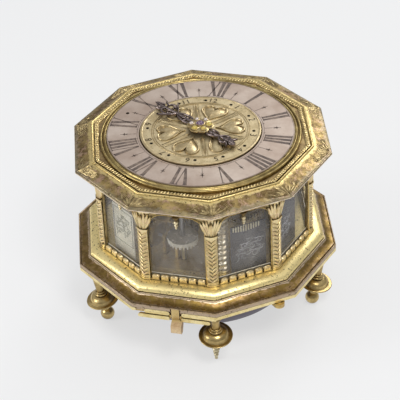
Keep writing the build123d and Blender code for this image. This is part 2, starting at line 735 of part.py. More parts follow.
# Pendant drop hanging from the crown of each arch
drop_top = BASE_TOP + WINDOW_CROWN
drop_swell = PENDANT_RADIUS * 0.8
drop = flat_sided([
    (drop_swell, drop_top), (drop_swell, drop_top - 3.2), (drop_swell * 0.5, drop_top - 3.8),
    (drop_swell * 1.2, drop_top - 5.0), (drop_swell * 0.5, drop_top - 6.2), (drop_swell, drop_top - 7.2),
    (drop_swell * 0.5, drop_top - 8.2), (drop_swell * 0.8, drop_top - 9.0),
    (0.2, drop_top - PENDANT_LENGTH),
])
drop = Pos(0, -PANEL_APOTHEM + PANEL_THICK * 0.4, 0) * drop
parts["window_pendants"] = on_faces(drop)

# Cornice: cove, lip, sloping top and rim, with a seat for the dial plate
lip = WALL_TOP + LIP_LEVEL
rim_level = lip + LIP_HEIGHT + RIM_RISE
cornice_profile = [
    (CORNICE_BORE, WALL_TOP), (WALL_RADIUS + 4, WALL_TOP), (WALL_RADIUS + 6.2, WALL_TOP + 0.9),
    (CORNICE_RADIUS - 3.6, lip - 1.1), (CORNICE_RADIUS - 2.2, lip - 0.1), (CORNICE_RADIUS - 0.5, lip),
    (CORNICE_RADIUS, lip + 0.5), (CORNICE_RADIUS, lip + LIP_HEIGHT - 0.5),
    (CORNICE_RADIUS - 0.6, lip + LIP_HEIGHT), (CORNICE_RADIUS - 3.0, lip + LIP_HEIGHT + 0.2),
    (CORNICE_RADIUS - 7.0, lip + LIP_HEIGHT + 1.1), (CORNICE_RADIUS - 10.2, lip + LIP_HEIGHT + 2.4),
    (CORNICE_RIM_RADIUS + 1.2, lip + LIP_HEIGHT + 2.7), (CORNICE_RIM_RADIUS + 1.0, rim_level - 0.4),
    (CORNICE_RIM_RADIUS + 0.4, rim_level), (CORNICE_RIM_RADIUS - 0.3, rim_level - 0.2),
    (SEAT_RADIUS, rim_level - 0.8), (SEAT_RADIUS, DIAL_BOTTOM), (CORNICE_BORE, DIAL_BOTTOM),
]
parts["cornice"] = moulding(cornice_profile)

# Dial plate with a raised round ground, the beaded band and the bezel
dial_plate = Pos(0, 0, DIAL_BOTTOM) * extrude(
    Rot(0, 0, FIRST_CORNER) * RegularPolygon(DIAL_RADIUS, SIDES), DIAL_THICK
)
dial_plate += disc(BEZEL_INNER, GROUND_RISE, level=DIAL_TOP)
dial_plate -= disc(HOUR_ARBOR_RADIUS + PIVOT_GAP, DIAL_THICK + GROUND_RISE, level=DIAL_BOTTOM)
parts["dial_plate"] = dial_plate

band_profile = [(BEAD_BAND_INNER, DIAL_TOP), (BEAD_BAND_OUTER, DIAL_TOP)]
for k in range(1, 6):
    turn = radians(30 * k)
    band_profile.append((
        (BEAD_BAND_OUTER + BEAD_BAND_INNER) / 2 + BEAD_BAND_WIDTH / 2 * cos(turn),
        DIAL_TOP + BEAD_BAND_HEIGHT * sin(turn),
    ))
parts["beaded_band"] = moulding(band_profile)

bezel_profile = [(BEZEL_OUTER, DIAL_TOP)]
for middle, rise, half in ((0.72, 0.82, 0.28), (0.24, 1.0, 0.24)):
    for k in range(5):
        turn = radians(22.5 + 33.75 * k)
        bezel_profile.append((
            BEZEL_INNER + BEZEL_WIDTH * (middle + half * cos(turn)),
            DIAL_TOP + BEZEL_HEIGHT * (rise - 0.35 + 0.35 * sin(turn)),
        ))
bezel_profile.append((BEZEL_INNER, DIAL_TOP))
parts["dial_bezel"] = revolved(bezel_profile)

parts["chapter_ring"] = ring(BEZEL_INNER, CHAPTER_INNER, CHAPTER_THICK, level=GROUND_TOP)

# Alarm disc with its pin holes, turned by hand on the hour arbor's pipe
alarm_disc = revolved([
    (HOUR_ARBOR_RADIUS + 0.35, ALARM_BOTTOM), (ALARM_RADIUS, ALARM_BOTTOM),
    (ALARM_RADIUS, ALARM_TOP - 0.4), (ALARM_RADIUS - 0.8, ALARM_TOP),
    (ALARM_RADIUS - 1.8, ALARM_TOP - 0.3),
    (HOUR_ARBOR_RADIUS + 0.35, ALARM_TOP - 0.3),
])
for k in range(PIN_HOLES):
    hole = polar(PIN_HOLE_CIRCLE, PIN_HOLE_FIRST + 360 / PIN_HOLES * k)
    alarm_disc -= disc(PIN_HOLE_RADIUS, PIN_HOLE_DEPTH, hole, ALARM_TOP - PIN_HOLE_DEPTH)
parts["alarm_disc"] = alarm_disc

# Hour hand: a pierced arrow-headed blade and a shorter counterpoise
half_hand = [
    (HAND_LENGTH, 0), (HAND_LENGTH - 3.5, 0.7), (HAND_LENGTH - 9.0, 1.0), (HAND_LENGTH - 11.5, 2.6),
    (HAND_LENGTH - 14.5, 4.2), (HAND_LENGTH - 17.5, 3.4), (HAND_LENGTH - 19.0, 1.4),
    (HAND_LENGTH - 22.0, 1.4), (HAND_LENGTH - 25.5, 3.0), (HUB_RADIUS, 3.0), (0, 3.4),
    (-HUB_RADIUS, 2.6), (-TAIL_LENGTH + 15.0, 2.2), (-TAIL_LENGTH + 11.0, 1.2), (-TAIL_LENGTH + 8.0, 3.6),
    (-TAIL_LENGTH + 5.0, 3.8), (-TAIL_LENGTH + 3.0, 1.6), (-TAIL_LENGTH, 0),
]
hand_points = half_hand + [(x, -y) for x, y in reversed(half_hand[1:-1])]
hand = extrude(outline(hand_points), HAND_THICK)
slot_middle = HAND_LENGTH - 15.0
for x, size in ((slot_middle, 1.6), (-TAIL_LENGTH + 6.0, 1.3)):
    for side in (-1, 1):
        hand -= Pos(x, side * 1.9, 0) * Cylinder(size * 0.7, 3 * HAND_THICK)
hand -= disc(HOUR_ARBOR_RADIUS + PIVOT_GAP, HAND_THICK)
parts["hour_hand"] = Pos(0, 0, HAND_BOTTOM) * Rot(0, 0, HAND_ANGLE) * hand

hub_top = HAND_TOP + HUB_HEIGHT
hub_step = HAND_TOP + 1.2
arbor_tip = hub_top - 0.4
hub = revolved([
    (HOUR_ARBOR_RADIUS + PIVOT_GAP, HAND_TOP), (HUB_RADIUS, HAND_TOP), (HUB_RADIUS, HAND_TOP + 0.7),
    (HUB_RADIUS - 1.2, hub_step), (HUB_STEP_RADIUS, hub_step), (HUB_STEP_RADIUS - 0.8, hub_top),
    (HOUR_ARBOR_RADIUS + PIVOT_GAP, hub_top),
])
parts["hub_rosette"] = hub
jewels = []
for k in range(JEWELS):
    centre = polar((HUB_RADIUS - 1.2 + HUB_STEP_RADIUS) / 2, 360 / JEWELS * k)
    jewels.append(flat_sided([
        (JEWEL_RADIUS - 0.1, hub_step), (JEWEL_RADIUS - 0.1, hub_step + 0.5),
        (JEWEL_RADIUS * 0.6, hub_step + 1.2),
    ], centre))
jewels.append(flat_sided([(3.0, hub_top), (3.0, hub_top + 0.5), (1.8, hub_top + 1.6)]))
parts["hub_jewels"] = jewels

# Hour arbor and dial wheel: from the top plate up through the dial
parts["hour_arbor"] = revolved([
    (0, TOP_PLATE_BOTTOM), (HOUR_PIVOT_RADIUS, TOP_PLATE_BOTTOM), (HOUR_PIVOT_RADIUS, TOP_PLATE_TOP),
    (HOUR_ARBOR_RADIUS + 1.0, TOP_PLATE_TOP + 0.1), (HOUR_ARBOR_RADIUS + 1.0, DIAL_WHEEL_LEVEL),
    (HOUR_ARBOR_RADIUS, DIAL_WHEEL_LEVEL), (HOUR_ARBOR_RADIUS, arbor_tip), (0, arbor_tip),
])

# Movement plates, bored for every arbor that runs in them
bottom_plate = disc(PLATE_RADIUS, PLATE_THICK, level=LOW_PLATE_BOTTOM)
top_plate = disc(PLATE_RADIUS - 1.0, PLATE_THICK, level=TOP_PLATE_BOTTOM)
verge_place = along(CONTRATE_CENTRE, VERGE_DISTANCE, CROWN_DIRECTION)
strike_places = (PIN_WHEEL_PLACE, WARNING_PLACE, FLY_PLACE)
for place in (SECOND_PLACE, CONTRATE_CENTRE, BARREL_CENTRE) + strike_places:
    bottom_plate -= disc(PIVOT_RADIUS + PIVOT_GAP, PLATE_THICK, place, LOW_PLATE_BOTTOM)
    top_plate -= disc(PIVOT_RADIUS + PIVOT_GAP, PLATE_THICK, place, TOP_PLATE_BOTTOM)
top_plate -= disc(HOUR_PIVOT_RADIUS + PIVOT_GAP, PLATE_THICK, HUB, TOP_PLATE_BOTTOM)
for place in (FUSEE_PLACE, STRIKE_CENTRE):
    bottom_plate -= disc(ARBOR_RADIUS + PIVOT_GAP, PLATE_THICK, place, LOW_PLATE_BOTTOM)
top_plate -= disc(ARBOR_RADIUS + PIVOT_GAP, PLATE_THICK, FUSEE_PLACE, TOP_PLATE_BOTTOM)
top_plate -= disc(PIVOT_RADIUS + PIVOT_GAP, PLATE_THICK, STRIKE_CENTRE, TOP_PLATE_BOTTOM)
bottom_plate -= disc(2.4, PLATE_THICK, verge_place, LOW_PLATE_BOTTOM)
bottom_plate -= disc(ARBOR_RADIUS + PIVOT_GAP, PLATE_THICK, HAMMER_PLACE, LOW_PLATE_BOTTOM)
pillar_places = [polar(PILLAR_CIRCLE, PILLAR_FIRST + 360 / PILLARS * k) for k in range(PILLARS)]
for place in pillar_places:
    top_plate -= disc(PILLAR_TENON, PLATE_THICK, place, TOP_PLATE_BOTTOM)
parts["bottom_plate"] = bottom_plate
parts["top_plate"] = top_plate

# Ringed eight-sided pillars with a tenon through the top plate, and the pins across the tenons
tenon_top = TOP_PLATE_TOP + 3.0
pillar_waist = PILLAR_RADIUS - 1.2
pillar_foot = PILLAR_RADIUS + 0.8
ring_pitch = (MOVEMENT_HEIGHT - 2 * (PILLAR_FOOT + 1.0)) / PILLAR_RINGS
pillar_profile = [(pillar_foot, LOW_PLATE_TOP), (pillar_foot, LOW_PLATE_TOP + PILLAR_FOOT)]
for k in range(PILLAR_RINGS):
    level = LOW_PLATE_TOP + PILLAR_FOOT + 1.0 + ring_pitch * k
    pillar_profile += [
        (pillar_waist, level), (PILLAR_RADIUS, level + ring_pitch * 0.35),
        (PILLAR_RADIUS, level + ring_pitch * 0.65),
    ]
pillar_profile += [
    (pillar_waist, TOP_PLATE_BOTTOM - PILLAR_FOOT - 1.0), (pillar_foot, TOP_PLATE_BOTTOM - PILLAR_FOOT),
    (pillar_foot, TOP_PLATE_BOTTOM),
]
pin_level = TOP_PLATE_TOP + 1.0
pin_bore = Rot(90, 0, 0) * Cylinder(0.6, 9)
pillars, pins = [], []
for place in pillar_places:
    pin = Pos(place[0], place[1], pin_level) * pin_bore
    tenon = disc(PILLAR_TENON, tenon_top - TOP_PLATE_BOTTOM, place, TOP_PLATE_BOTTOM)
    pillars.append(flat_sided(pillar_profile, place, PILLAR_FLATS) + tenon - pin)
    pins.append(pin)
parts["movement_pillars"] = pillars
parts["pillar_pins"] = pins

# Bell, mouth up, on a stud under the bottom plate, with its nut
crown = BELL_CROWN_LEVEL
bell_bore = BELL_STUD_RADIUS - 1.4
outer_bell = [
    (bell_bore, crown), (BELL_RIM_RADIUS - 25.5, crown), (BELL_RIM_RADIUS - 13.5, crown + 0.6),
    (BELL_RIM_RADIUS - 6.5, crown + 2.6), (BELL_RIM_RADIUS - 2.9, crown + 6.4),
    (BELL_RIM_RADIUS - 1.3, crown + 12.0), (BELL_RIM_RADIUS - 0.6, crown + 20.0),
    (BELL_RIM_RADIUS, BELL_RIM_LEVEL),
]
bell_inner_radius = BELL_RIM_RADIUS - BELL_WALL
inner_bell = [
    (bell_inner_radius, BELL_RIM_LEVEL), (bell_inner_radius - 0.6, crown + 20.0),
    (bell_inner_radius - 1.3, crown + 12.0), (bell_inner_radius - 2.9, crown + 7.0),
    (bell_inner_radius - 5.7, crown + 4.2), (bell_inner_radius - 11.9, crown + 2.6),
    (BELL_RIM_RADIUS - 25.5, crown + BELL_WALL), (bell_bore, crown + BELL_WALL),
]
parts["bell"] = revolved(outer_bell + inner_bell)
stud_shoulder = crown + BELL_WALL
parts["bell_stud"] = revolved([
    (0, crown - 4.0), (bell_bore, crown - 4.0), (bell_bore, stud_shoulder),
    (BELL_STUD_RADIUS, stud_shoulder), (BELL_STUD_RADIUS, LOW_PLATE_BOTTOM - 4),
    (BELL_STUD_RADIUS + 2.5, LOW_PLATE_BOTTOM - 2.5), (BELL_STUD_RADIUS + 2.5, LOW_PLATE_BOTTOM),
    (0, LOW_PLATE_BOTTOM),
])
nut = Pos(0, 0, crown - BELL_NUT_THICK) * extrude(RegularPolygon(5.5, 6), BELL_NUT_THICK)
parts["bell_nut"] = nut - disc(bell_bore, BELL_NUT_THICK, level=crown - BELL_NUT_THICK)

# Going train: barrel, chain, fusee, second wheel, contrate wheel and crown wheel
great_phase = 0.0
second_phase = meshed_phase(FUSEE_PLACE, SECOND_PLACE, GREAT_TEETH, SECOND_PINION_TEETH, great_phase)
parts["great_wheel"] = wheel(GREAT_TEETH, DRIVE_MODULE, FUSEE_PLACE, GREAT_LEVEL, great_phase)
fusee_top = FUSEE_LEVEL + FUSEE_HEIGHT
winding_square = Box(
    WINDING_SQUARE, WINDING_SQUARE, SQUARE_LENGTH, align=(Align.CENTER, Align.CENTER, Align.MAX)
)
fusee_arbor_bottom = LOW_PLATE_BOTTOM - 1.0
fusee_arbor_top = DIAL_WHEEL_LEVEL + PINION_THICK
fusee_arbor = revolved([
    (0, fusee_arbor_bottom), (ARBOR_RADIUS, fusee_arbor_bottom), (ARBOR_RADIUS, fusee_arbor_top),
    (0, fusee_arbor_top),
], FUSEE_PLACE)
fusee_arbor += Pos(FUSEE_PLACE[0], FUSEE_PLACE[1], fusee_arbor_bottom) * winding_square
fusee_arbor += pinion(DIAL_PINION_TEETH, DRIVE_MODULE, FUSEE_PLACE, DIAL_WHEEL_LEVEL - 1.0, 0.0)
parts["fusee_arbor"] = fusee_arbor
fusee_profile = [
    (ARBOR_RADIUS, FUSEE_LEVEL), (FUSEE_LARGE + 1.5, FUSEE_LEVEL), (FUSEE_LARGE + 1.5, FUSEE_LEVEL + 1.5)
]
turn_height = (FUSEE_HEIGHT - 3.0) / FUSEE_TURNS
for k in range(FUSEE_TURNS):
    share = (k + 0.5) / FUSEE_TURNS
    radius = FUSEE_LARGE + (FUSEE_SMALL - FUSEE_LARGE) * share ** 0.8
    level = FUSEE_LEVEL + 1.5 + turn_height * k
    fusee_profile += [(radius, level), (radius - FUSEE_GROOVE, level + turn_height * 0.5)]
fusee_profile += [
    (FUSEE_SMALL + 0.8, fusee_top - 1.5), (FUSEE_SMALL + 0.8, fusee_top), (ARBOR_RADIUS, fusee_top)
]
parts["fusee"] = revolved(fusee_profile, FUSEE_PLACE)

barrel_top = BARREL_LEVEL + BARREL_HEIGHT
parts["going_barrel"] = revolved([
    (ARBOR_RADIUS + PIVOT_GAP, BARREL_LEVEL), (BARREL_RADIUS, BARREL_LEVEL), (BARREL_RADIUS, barrel_top),
    (ARBOR_RADIUS + PIVOT_GAP, barrel_top), (ARBOR_RADIUS + PIVOT_GAP, barrel_top - BARREL_WALL),
    (BARREL_RADIUS - BARREL_WALL, barrel_top - BARREL_WALL),
    (BARREL_RADIUS - BARREL_WALL, BARREL_LEVEL + BARREL_WALL),
    (ARBOR_RADIUS + PIVOT_GAP, BARREL_LEVEL + BARREL_WALL),
], BARREL_CENTRE)
parts["barrel_arbor"] = arbor(BARREL_CENTRE, LOW_PLATE_TOP, TOP_PLATE_BOTTOM)


def spring_coil(place, level, height, inner, outer, turns=5, steps=16):
    """A flat coiled spring standing free in its barrel."""
    count = turns * steps
    coil = [(inner + (outer - inner) * k / count, 360 * k / steps) for k in range(count + 1)]
    inside = [polar(radius, turn) for radius, turn in coil]
    outside = [polar(radius + SPRING_THICK, turn) for radius, turn in reversed(coil)]
    return Pos(place[0], place[1], level) * extrude(outline(inside + outside), height)


parts["mainspring"] = spring_coil(
    BARREL_CENTRE, BARREL_LEVEL + BARREL_WALL + FIT_GAP, BARREL_HEIGHT - 2 * (BARREL_WALL + FIT_GAP),
    ARBOR_RADIUS + FIT_GAP, BARREL_RADIUS - BARREL_WALL - SPRING_THICK - FIT_GAP,
)

# The chain's straight run, tangent to the barrel and to the fusee
chain_level = FUSEE_LEVEL + FUSEE_HEIGHT * 0.5
chain_fusee_radius = (FUSEE_LARGE + FUSEE_SMALL) / 2 + 0.9
chain_barrel_radius = BARREL_RADIUS + FIT_GAP
line_angle = facing(FUSEE_PLACE, BARREL_CENTRE)
span = hypot(BARREL_CENTRE[0] - FUSEE_PLACE[0], BARREL_CENTRE[1] - FUSEE_PLACE[1])
lift = degrees(atan2(chain_barrel_radius - chain_fusee_radius, span))
chain_normal = line_angle + 90 + lift
start = along(FUSEE_PLACE, chain_fusee_radius, chain_normal)
end = along(BARREL_CENTRE, chain_barrel_radius, chain_normal)
chain_length = hypot(end[0] - start[0], end[1] - start[1])
parts["fusee_chain"] = Pos(start[0], start[1], chain_level) * Rot(0, 0, facing(start, end)) * Box(
    chain_length, CHAIN_THICK, CHAIN_HEIGHT, align=(Align.MIN, Align.MIN, Align.CENTER)
)

contrate_phase = meshed_phase(SECOND_PLACE, CONTRATE_CENTRE, SECOND_TEETH, CONTRATE_PINION_TEETH, 0.0)
parts["second_wheel"] = wheel(SECOND_TEETH, UPPER_MODULE, SECOND_PLACE, SECOND_LEVEL, 0.0)
parts["second_arbor"] = arbor(SECOND_PLACE, LOW_PLATE_TOP + 0.3, TOP_PLATE_BOTTOM - 0.3) + pinion(
    SECOND_PINION_TEETH, DRIVE_MODULE, SECOND_PLACE, GREAT_LEVEL - 1.0, second_phase
)
parts["contrate_arbor"] = arbor(CONTRATE_CENTRE, LOW_PLATE_TOP + 0.3, TOP_PLATE_BOTTOM - 0.3) + pinion(
    CONTRATE_PINION_TEETH, UPPER_MODULE, CONTRATE_CENTRE, SECOND_LEVEL - 1.0, contrate_phase
)

contrate = ring(CONTRATE_RADIUS, CONTRATE_RADIUS - CONTRATE_WALL, CONTRATE_HEIGHT)
contrate += ring(CONTRATE_RADIUS, ARBOR_RADIUS, 1.0, level=CONTRATE_HEIGHT - 1.0)
tooth_width = 2 * pi * CONTRATE_RADIUS / CONTRATE_TEETH * 0.36
for k in range(CONTRATE_TEETH):
    tooth = Pos(CONTRATE_RADIUS - CONTRATE_WALL / 2 - 0.1, 0, 0) * Box(
        CONTRATE_WALL - 0.3, tooth_width, CONTRATE_TOOTH + 0.2, align=(Align.CENTER, Align.CENTER, Align.MAX)
    )
    contrate += Rot(0, 0, CROWN_DIRECTION + 360 / CONTRATE_TEETH * (k + 0.5)) * Pos(0, 0, 0.2) * tooth
parts["contrate_wheel"] = Pos(CONTRATE_CENTRE[0], CONTRATE_CENTRE[1], CONTRATE_LEVEL) * contrate

# Crown wheel on a level arbor, drawn along +X from the contrate wheel's centre and then placed
crown_module = 2 * (CONTRATE_RADIUS - CONTRATE_WALL / 2) / CONTRATE_TEETH
crown_axis = CONTRATE_LEVEL - CONTRATE_TOOTH - crown_module * CROWN_PINION_TEETH / 2 + 0.35
crown_frame = (
    Pos(CONTRATE_CENTRE[0], CONTRATE_CENTRE[1], crown_axis) * Rot(0, 0, CROWN_DIRECTION)
)
leaf_points = tooth_outline(CROWN_PINION_TEETH, crown_module, 90.0, addendum=0.45, dedendum=0.9, share=0.34)
crown_pinion = (
    Pos(CONTRATE_RADIUS - CONTRATE_WALL / 2 - CROWN_PINION_THICK / 2, 0, 0)
    * Rot(0, 90, 0) * Rot(0, 0, 90)
    * extrude(outline(leaf_points), CROWN_PINION_THICK)
)
crown_arbor_start = POTENCE_INNER - POTENCE_THICK
crown_arbor = Pos(crown_arbor_start, 0, 0) * Rot(0, 90, 0) * Cylinder(
    PIVOT_RADIUS, CROWN_DISTANCE - crown_arbor_start, align=(Align.CENTER, Align.CENTER, Align.MIN)
)
crown_wheel = Rot(0, 90, 0) * (
    ring(CROWN_RADIUS, PIVOT_RADIUS, CROWN_BACK)
    + ring(CROWN_RADIUS, CROWN_RADIUS - CROWN_WALL, CROWN_DEPTH)
)
gap_width = 2 * CROWN_RADIUS * sin(pi / CROWN_TEETH) * 0.62
for k in range(CROWN_TEETH):
    gap = Pos(CROWN_DEPTH, 0, CROWN_RADIUS) * Box(4.4, gap_width, 4.0)
    crown_wheel -= Rot(360 / CROWN_TEETH * (k + 0.5), 0, 0) * gap
crown_wheel = Pos(CROWN_DISTANCE - CROWN_BACK, 0, 0) * crown_wheel
parts["crown_arbor"] = crown_frame * (crown_arbor + crown_pinion)
parts["crown_wheel"] = crown_frame * crown_wheel

# Verge with two pallets, the balance under the bottom plate, and what carries them
verge_top = crown_axis + CROWN_RADIUS + 3.0
balance_level = LOW_PLATE_BOTTOM - 4.6
verge_bottom = balance_level - 2.0
verge = revolved([
    (0, verge_bottom), (VERGE_RADIUS, verge_bottom), (VERGE_RADIUS, verge_top), (0, verge_top),
], verge_place)
pallet = Box(PALLET_REACH, 0.8, 2.4, align=(Align.MIN, Align.CENTER, Align.CENTER))
for side in (1, -1):
    level = crown_axis + side * (CROWN_RADIUS - 1.0)
    turn = CROWN_DIRECTION + 180 + side * PALLET_ANGLE
    verge += Pos(verge_place[0], verge_place[1], level) * Rot(0, 0, turn) * pallet
parts["verge"] = verge
balance = ring(BALANCE_RADIUS, BALANCE_RADIUS - 1.8, BALANCE_THICK)
balance += ring(2.6, VERGE_RADIUS, BALANCE_THICK)
for k in range(3):
    spoke = Pos(2.2, 0, 0) * Box(
        BALANCE_RADIUS - 3.2, 1.6, BALANCE_THICK, align=(Align.MIN, Align.CENTER, Align.MIN)
    )
    balance += Rot(0, 0, 120 * k) * spoke
parts["balance_wheel"] = Pos(verge_place[0], verge_place[1], balance_level) * balance

cock_bottom = verge_bottom - 0.6
cock_reach = BALANCE_RADIUS + 4.0
cock_foot = along(verge_place, cock_reach, 60.0)
cock = disc(3.0, COCK_THICK, cock_foot, cock_bottom)
cock += disc(2.6, LOW_PLATE_BOTTOM - cock_bottom, cock_foot, cock_bottom)
cock += Pos(verge_place[0], verge_place[1], cock_bottom) * Rot(0, 0, 60.0) * Box(
    cock_reach, 4.0, COCK_THICK, align=(Align.MIN, Align.CENTER, Align.MIN)
)
cock += disc(2.8, COCK_THICK, verge_place, cock_bottom)
cock -= disc(VERGE_RADIUS + PIVOT_GAP, COCK_THICK, verge_place, cock_bottom)
parts["balance_cock"] = cock

# Potence: two posts for the crown arbor and an arm over the verge's top pivot
potence_posts = []
for distance in (POTENCE_INNER, POTENCE_OUTER):
    post_height = crown_axis + 2.6 - LOW_PLATE_TOP
    if distance < CONTRATE_RADIUS:
        post_height = crown_axis + 1.6 - LOW_PLATE_TOP
    post = Pos(distance, 0, LOW_PLATE_TOP - crown_axis) * Box(
        POTENCE_THICK, 5.0, post_height, align=(Align.CENTER, Align.CENTER, Align.MIN)
    )
    post -= Pos(distance, 0, 0) * Rot(0, 90, 0) * Cylinder(PIVOT_RADIUS + PIVOT_GAP, 2 * POTENCE_THICK)
    potence_posts.append(crown_frame * post)
verge_post = Pos(VERGE_DISTANCE + 5.5, 0, LOW_PLATE_TOP - crown_axis) * Box(
    2.4, 6.0, verge_top - LOW_PLATE_TOP, align=(Align.CENTER, Align.CENTER, Align.MIN)
)
verge_post += Pos(VERGE_DISTANCE + 6.7, 0, verge_top - crown_axis) * Box(
    9.4, 4.0, 1.8, align=(Align.MAX, Align.CENTER, Align.MAX)
)
verge_post -= Pos(VERGE_DISTANCE, 0, verge_top - crown_axis) * Cylinder(VERGE_RADIUS + PIVOT_GAP, 8)
potence_posts.append(crown_frame * verge_post)
parts["potence"] = potence_posts

# Dial wheel, driven from the fusee's arbor
dial_phase = meshed_phase(FUSEE_PLACE, HUB, DIAL_PINION_TEETH, DIAL_TEETH, 0.0)
parts["dial_wheel"] = wheel(
    DIAL_TEETH, DRIVE_MODULE, HUB, DIAL_WHEEL_LEVEL, dial_phase, bore=HOUR_ARBOR_RADIUS, arms=6
)

# Striking train: barrel and great wheel, pin wheel, warning wheel and fly
pin_pinion_phase = meshed_phase(STRIKE_CENTRE, PIN_WHEEL_PLACE, STRIKE_TEETH, STRIKE_PINION_TEETH, 0.0)
warning_phase = meshed_phase(PIN_WHEEL_PLACE, WARNING_PLACE, PIN_WHEEL_TEETH, WARNING_PINION_TEETH, 0.0)
fly_phase = meshed_phase(WARNING_PLACE, FLY_PLACE, WARNING_TEETH, FLY_PINION_TEETH, 0.0)
count_phase = meshed_phase(STRIKE_CENTRE, COUNT_PLACE, COUNT_PINION_TEETH, COUNT_TEETH, 0.0)
parts["strike_great_wheel"] = wheel(
    STRIKE_TEETH, STRIKE_MODULE, STRIKE_CENTRE, STRIKE_LEVEL, 0.0, thick=3.0
)
strike_arbor = revolved([
    (0, COUNT_LEVEL), (ARBOR_RADIUS, COUNT_LEVEL), (ARBOR_RADIUS, TOP_PLATE_BOTTOM - 0.3),
    (PIVOT_RADIUS, TOP_PLATE_BOTTOM - 0.3), (PIVOT_RADIUS, TOP_PLATE_TOP), (0, TOP_PLATE_TOP),
], STRIKE_CENTRE)
strike_arbor += pinion(COUNT_PINION_TEETH, COUNT_MODULE, STRIKE_CENTRE, COUNT_LEVEL, 0.0, thick=3.0)
strike_arbor += Pos(STRIKE_CENTRE[0], STRIKE_CENTRE[1], COUNT_LEVEL) * winding_square
parts["strike_arbor"] = strike_arbor
strike_barrel_top = STRIKE_LEVEL - 1.0
strike_barrel_bottom = strike_barrel_top - STRIKE_BARREL_HEIGHT
parts["strike_barrel"] = revolved([
    (ARBOR_RADIUS, strike_barrel_bottom), (STRIKE_BARREL_RADIUS, strike_barrel_bottom),
    (STRIKE_BARREL_RADIUS, strike_barrel_top), (6.0, strike_barrel_top), (6.0, STRIKE_LEVEL),
    (ARBOR_RADIUS, STRIKE_LEVEL),
], STRIKE_CENTRE)

lifting_wheel = wheel(PIN_WHEEL_TEETH, WARNING_MODULE, PIN_WHEEL_PLACE, PIN_WHEEL_LEVEL, 0.0)
for k in range(LIFTING_PINS):
    spot = along(PIN_WHEEL_PLACE, LIFTING_CIRCLE, 360 / LIFTING_PINS * k)
    lifting_wheel += disc(LIFTING_PIN_RADIUS, WHEEL_THICK + LIFTING_PIN_RISE, spot, PIN_WHEEL_LEVEL)
parts["pin_wheel"] = lifting_wheel
parts["pin_wheel_arbor"] = arbor(PIN_WHEEL_PLACE, LOW_PLATE_TOP + 0.3, TOP_PLATE_BOTTOM - 0.3) + pinion(
    STRIKE_PINION_TEETH, STRIKE_MODULE, PIN_WHEEL_PLACE, STRIKE_LEVEL - 0.5, pin_pinion_phase
)
parts["warning_wheel"] = wheel(
    WARNING_TEETH, WARNING_MODULE, WARNING_PLACE, WARNING_LEVEL, 0.0, thick=1.6, bore=0
) + arbor(WARNING_PLACE, LOW_PLATE_TOP + 0.3, TOP_PLATE_BOTTOM - 0.3, radius=1.2) + pinion(
    WARNING_PINION_TEETH, WARNING_MODULE, WARNING_PLACE, PIN_WHEEL_LEVEL - 1.0, warning_phase
)
fly = arbor(FLY_PLACE, LOW_PLATE_TOP + 0.3, TOP_PLATE_BOTTOM - 0.3, radius=1.1)
fly += pinion(FLY_PINION_TEETH, WARNING_MODULE, FLY_PLACE, WARNING_LEVEL - 1.0, fly_phase, thick=3.4)
fly += Pos(FLY_PLACE[0], FLY_PLACE[1], LOW_PLATE_TOP + 12) * Box(
    2 * FLY_RADIUS, 0.7, 20, align=(Align.CENTER, Align.CENTER, Align.MIN)
)
parts["fly"] = fly

# Count wheel under the bottom plate on its own stud
parts["count_stud"] = revolved([
    (0, COUNT_LEVEL - 1.4), (2.6, COUNT_LEVEL - 1.4), (2.6, COUNT_LEVEL - 0.3),
    (COUNT_STUD_RADIUS, COUNT_LEVEL - 0.3), (COUNT_STUD_RADIUS, LOW_PLATE_BOTTOM), (0, LOW_PLATE_BOTTOM),
], COUNT_PLACE)
count_wheel = wheel(
    COUNT_TEETH, COUNT_MODULE, COUNT_PLACE, COUNT_LEVEL, count_phase, thick=1.4,
    bore=COUNT_STUD_RADIUS + PIVOT_GAP, arms=5,
)
parts["count_wheel"] = count_wheel

# Hammer: an upright arbor through the bottom plate, its arm and head inside the bell
hammer_level = FRAME_BOTTOM - 2.0
bell_inside = BELL_RIM_RADIUS - BELL_WALL - 0.6
head_centre = polar(bell_inside - HAMMER_HEAD_GAP - HAMMER_HEAD_LENGTH / 2, HAMMER_ANGLE)
arm_angle = facing(HAMMER_PLACE, head_centre)
arm_length = hypot(head_centre[0] - HAMMER_PLACE[0], head_centre[1] - HAMMER_PLACE[1])
tail_bottom = PIN_WHEEL_LEVEL + WHEEL_THICK + FIT_GAP
hammer_top = tail_bottom + TAIL_HEIGHT
tail_angle = facing(HAMMER_PLACE, PIN_WHEEL_PLACE)
tail_span = hypot(PIN_WHEEL_PLACE[0] - HAMMER_PLACE[0], PIN_WHEEL_PLACE[1] - HAMMER_PLACE[1])
tail_reach = tail_span - LIFTING_CIRCLE - LIFTING_PIN_RADIUS - 2 * FIT_GAP
hammer = revolved([
    (0, hammer_level), (ARBOR_RADIUS, hammer_level), (ARBOR_RADIUS, hammer_top), (0, hammer_top),
], HAMMER_PLACE)
hammer += disc(3.2, ARM_HEIGHT, HAMMER_PLACE, hammer_level)
hammer += Pos(HAMMER_PLACE[0], HAMMER_PLACE[1], hammer_level) * Rot(0, 0, arm_angle) * Box(
    arm_length, 2.6, ARM_HEIGHT, align=(Align.MIN, Align.CENTER, Align.MIN)
)
hammer += (
    Pos(head_centre[0], head_centre[1], hammer_level + ARM_HEIGHT / 2)
    * Rot(0, 0, HAMMER_ANGLE) * Rot(0, 90, 0)
    * Cylinder(HAMMER_HEAD_RADIUS, HAMMER_HEAD_LENGTH)
)
hammer += Pos(HAMMER_PLACE[0], HAMMER_PLACE[1], tail_bottom) * Rot(0, 0, tail_angle) * Box(
    tail_reach, TAIL_WIDTH, TAIL_HEIGHT, align=(Align.MIN, Align.CENTER, Align.MIN)
)
parts["hammer"] = hammer

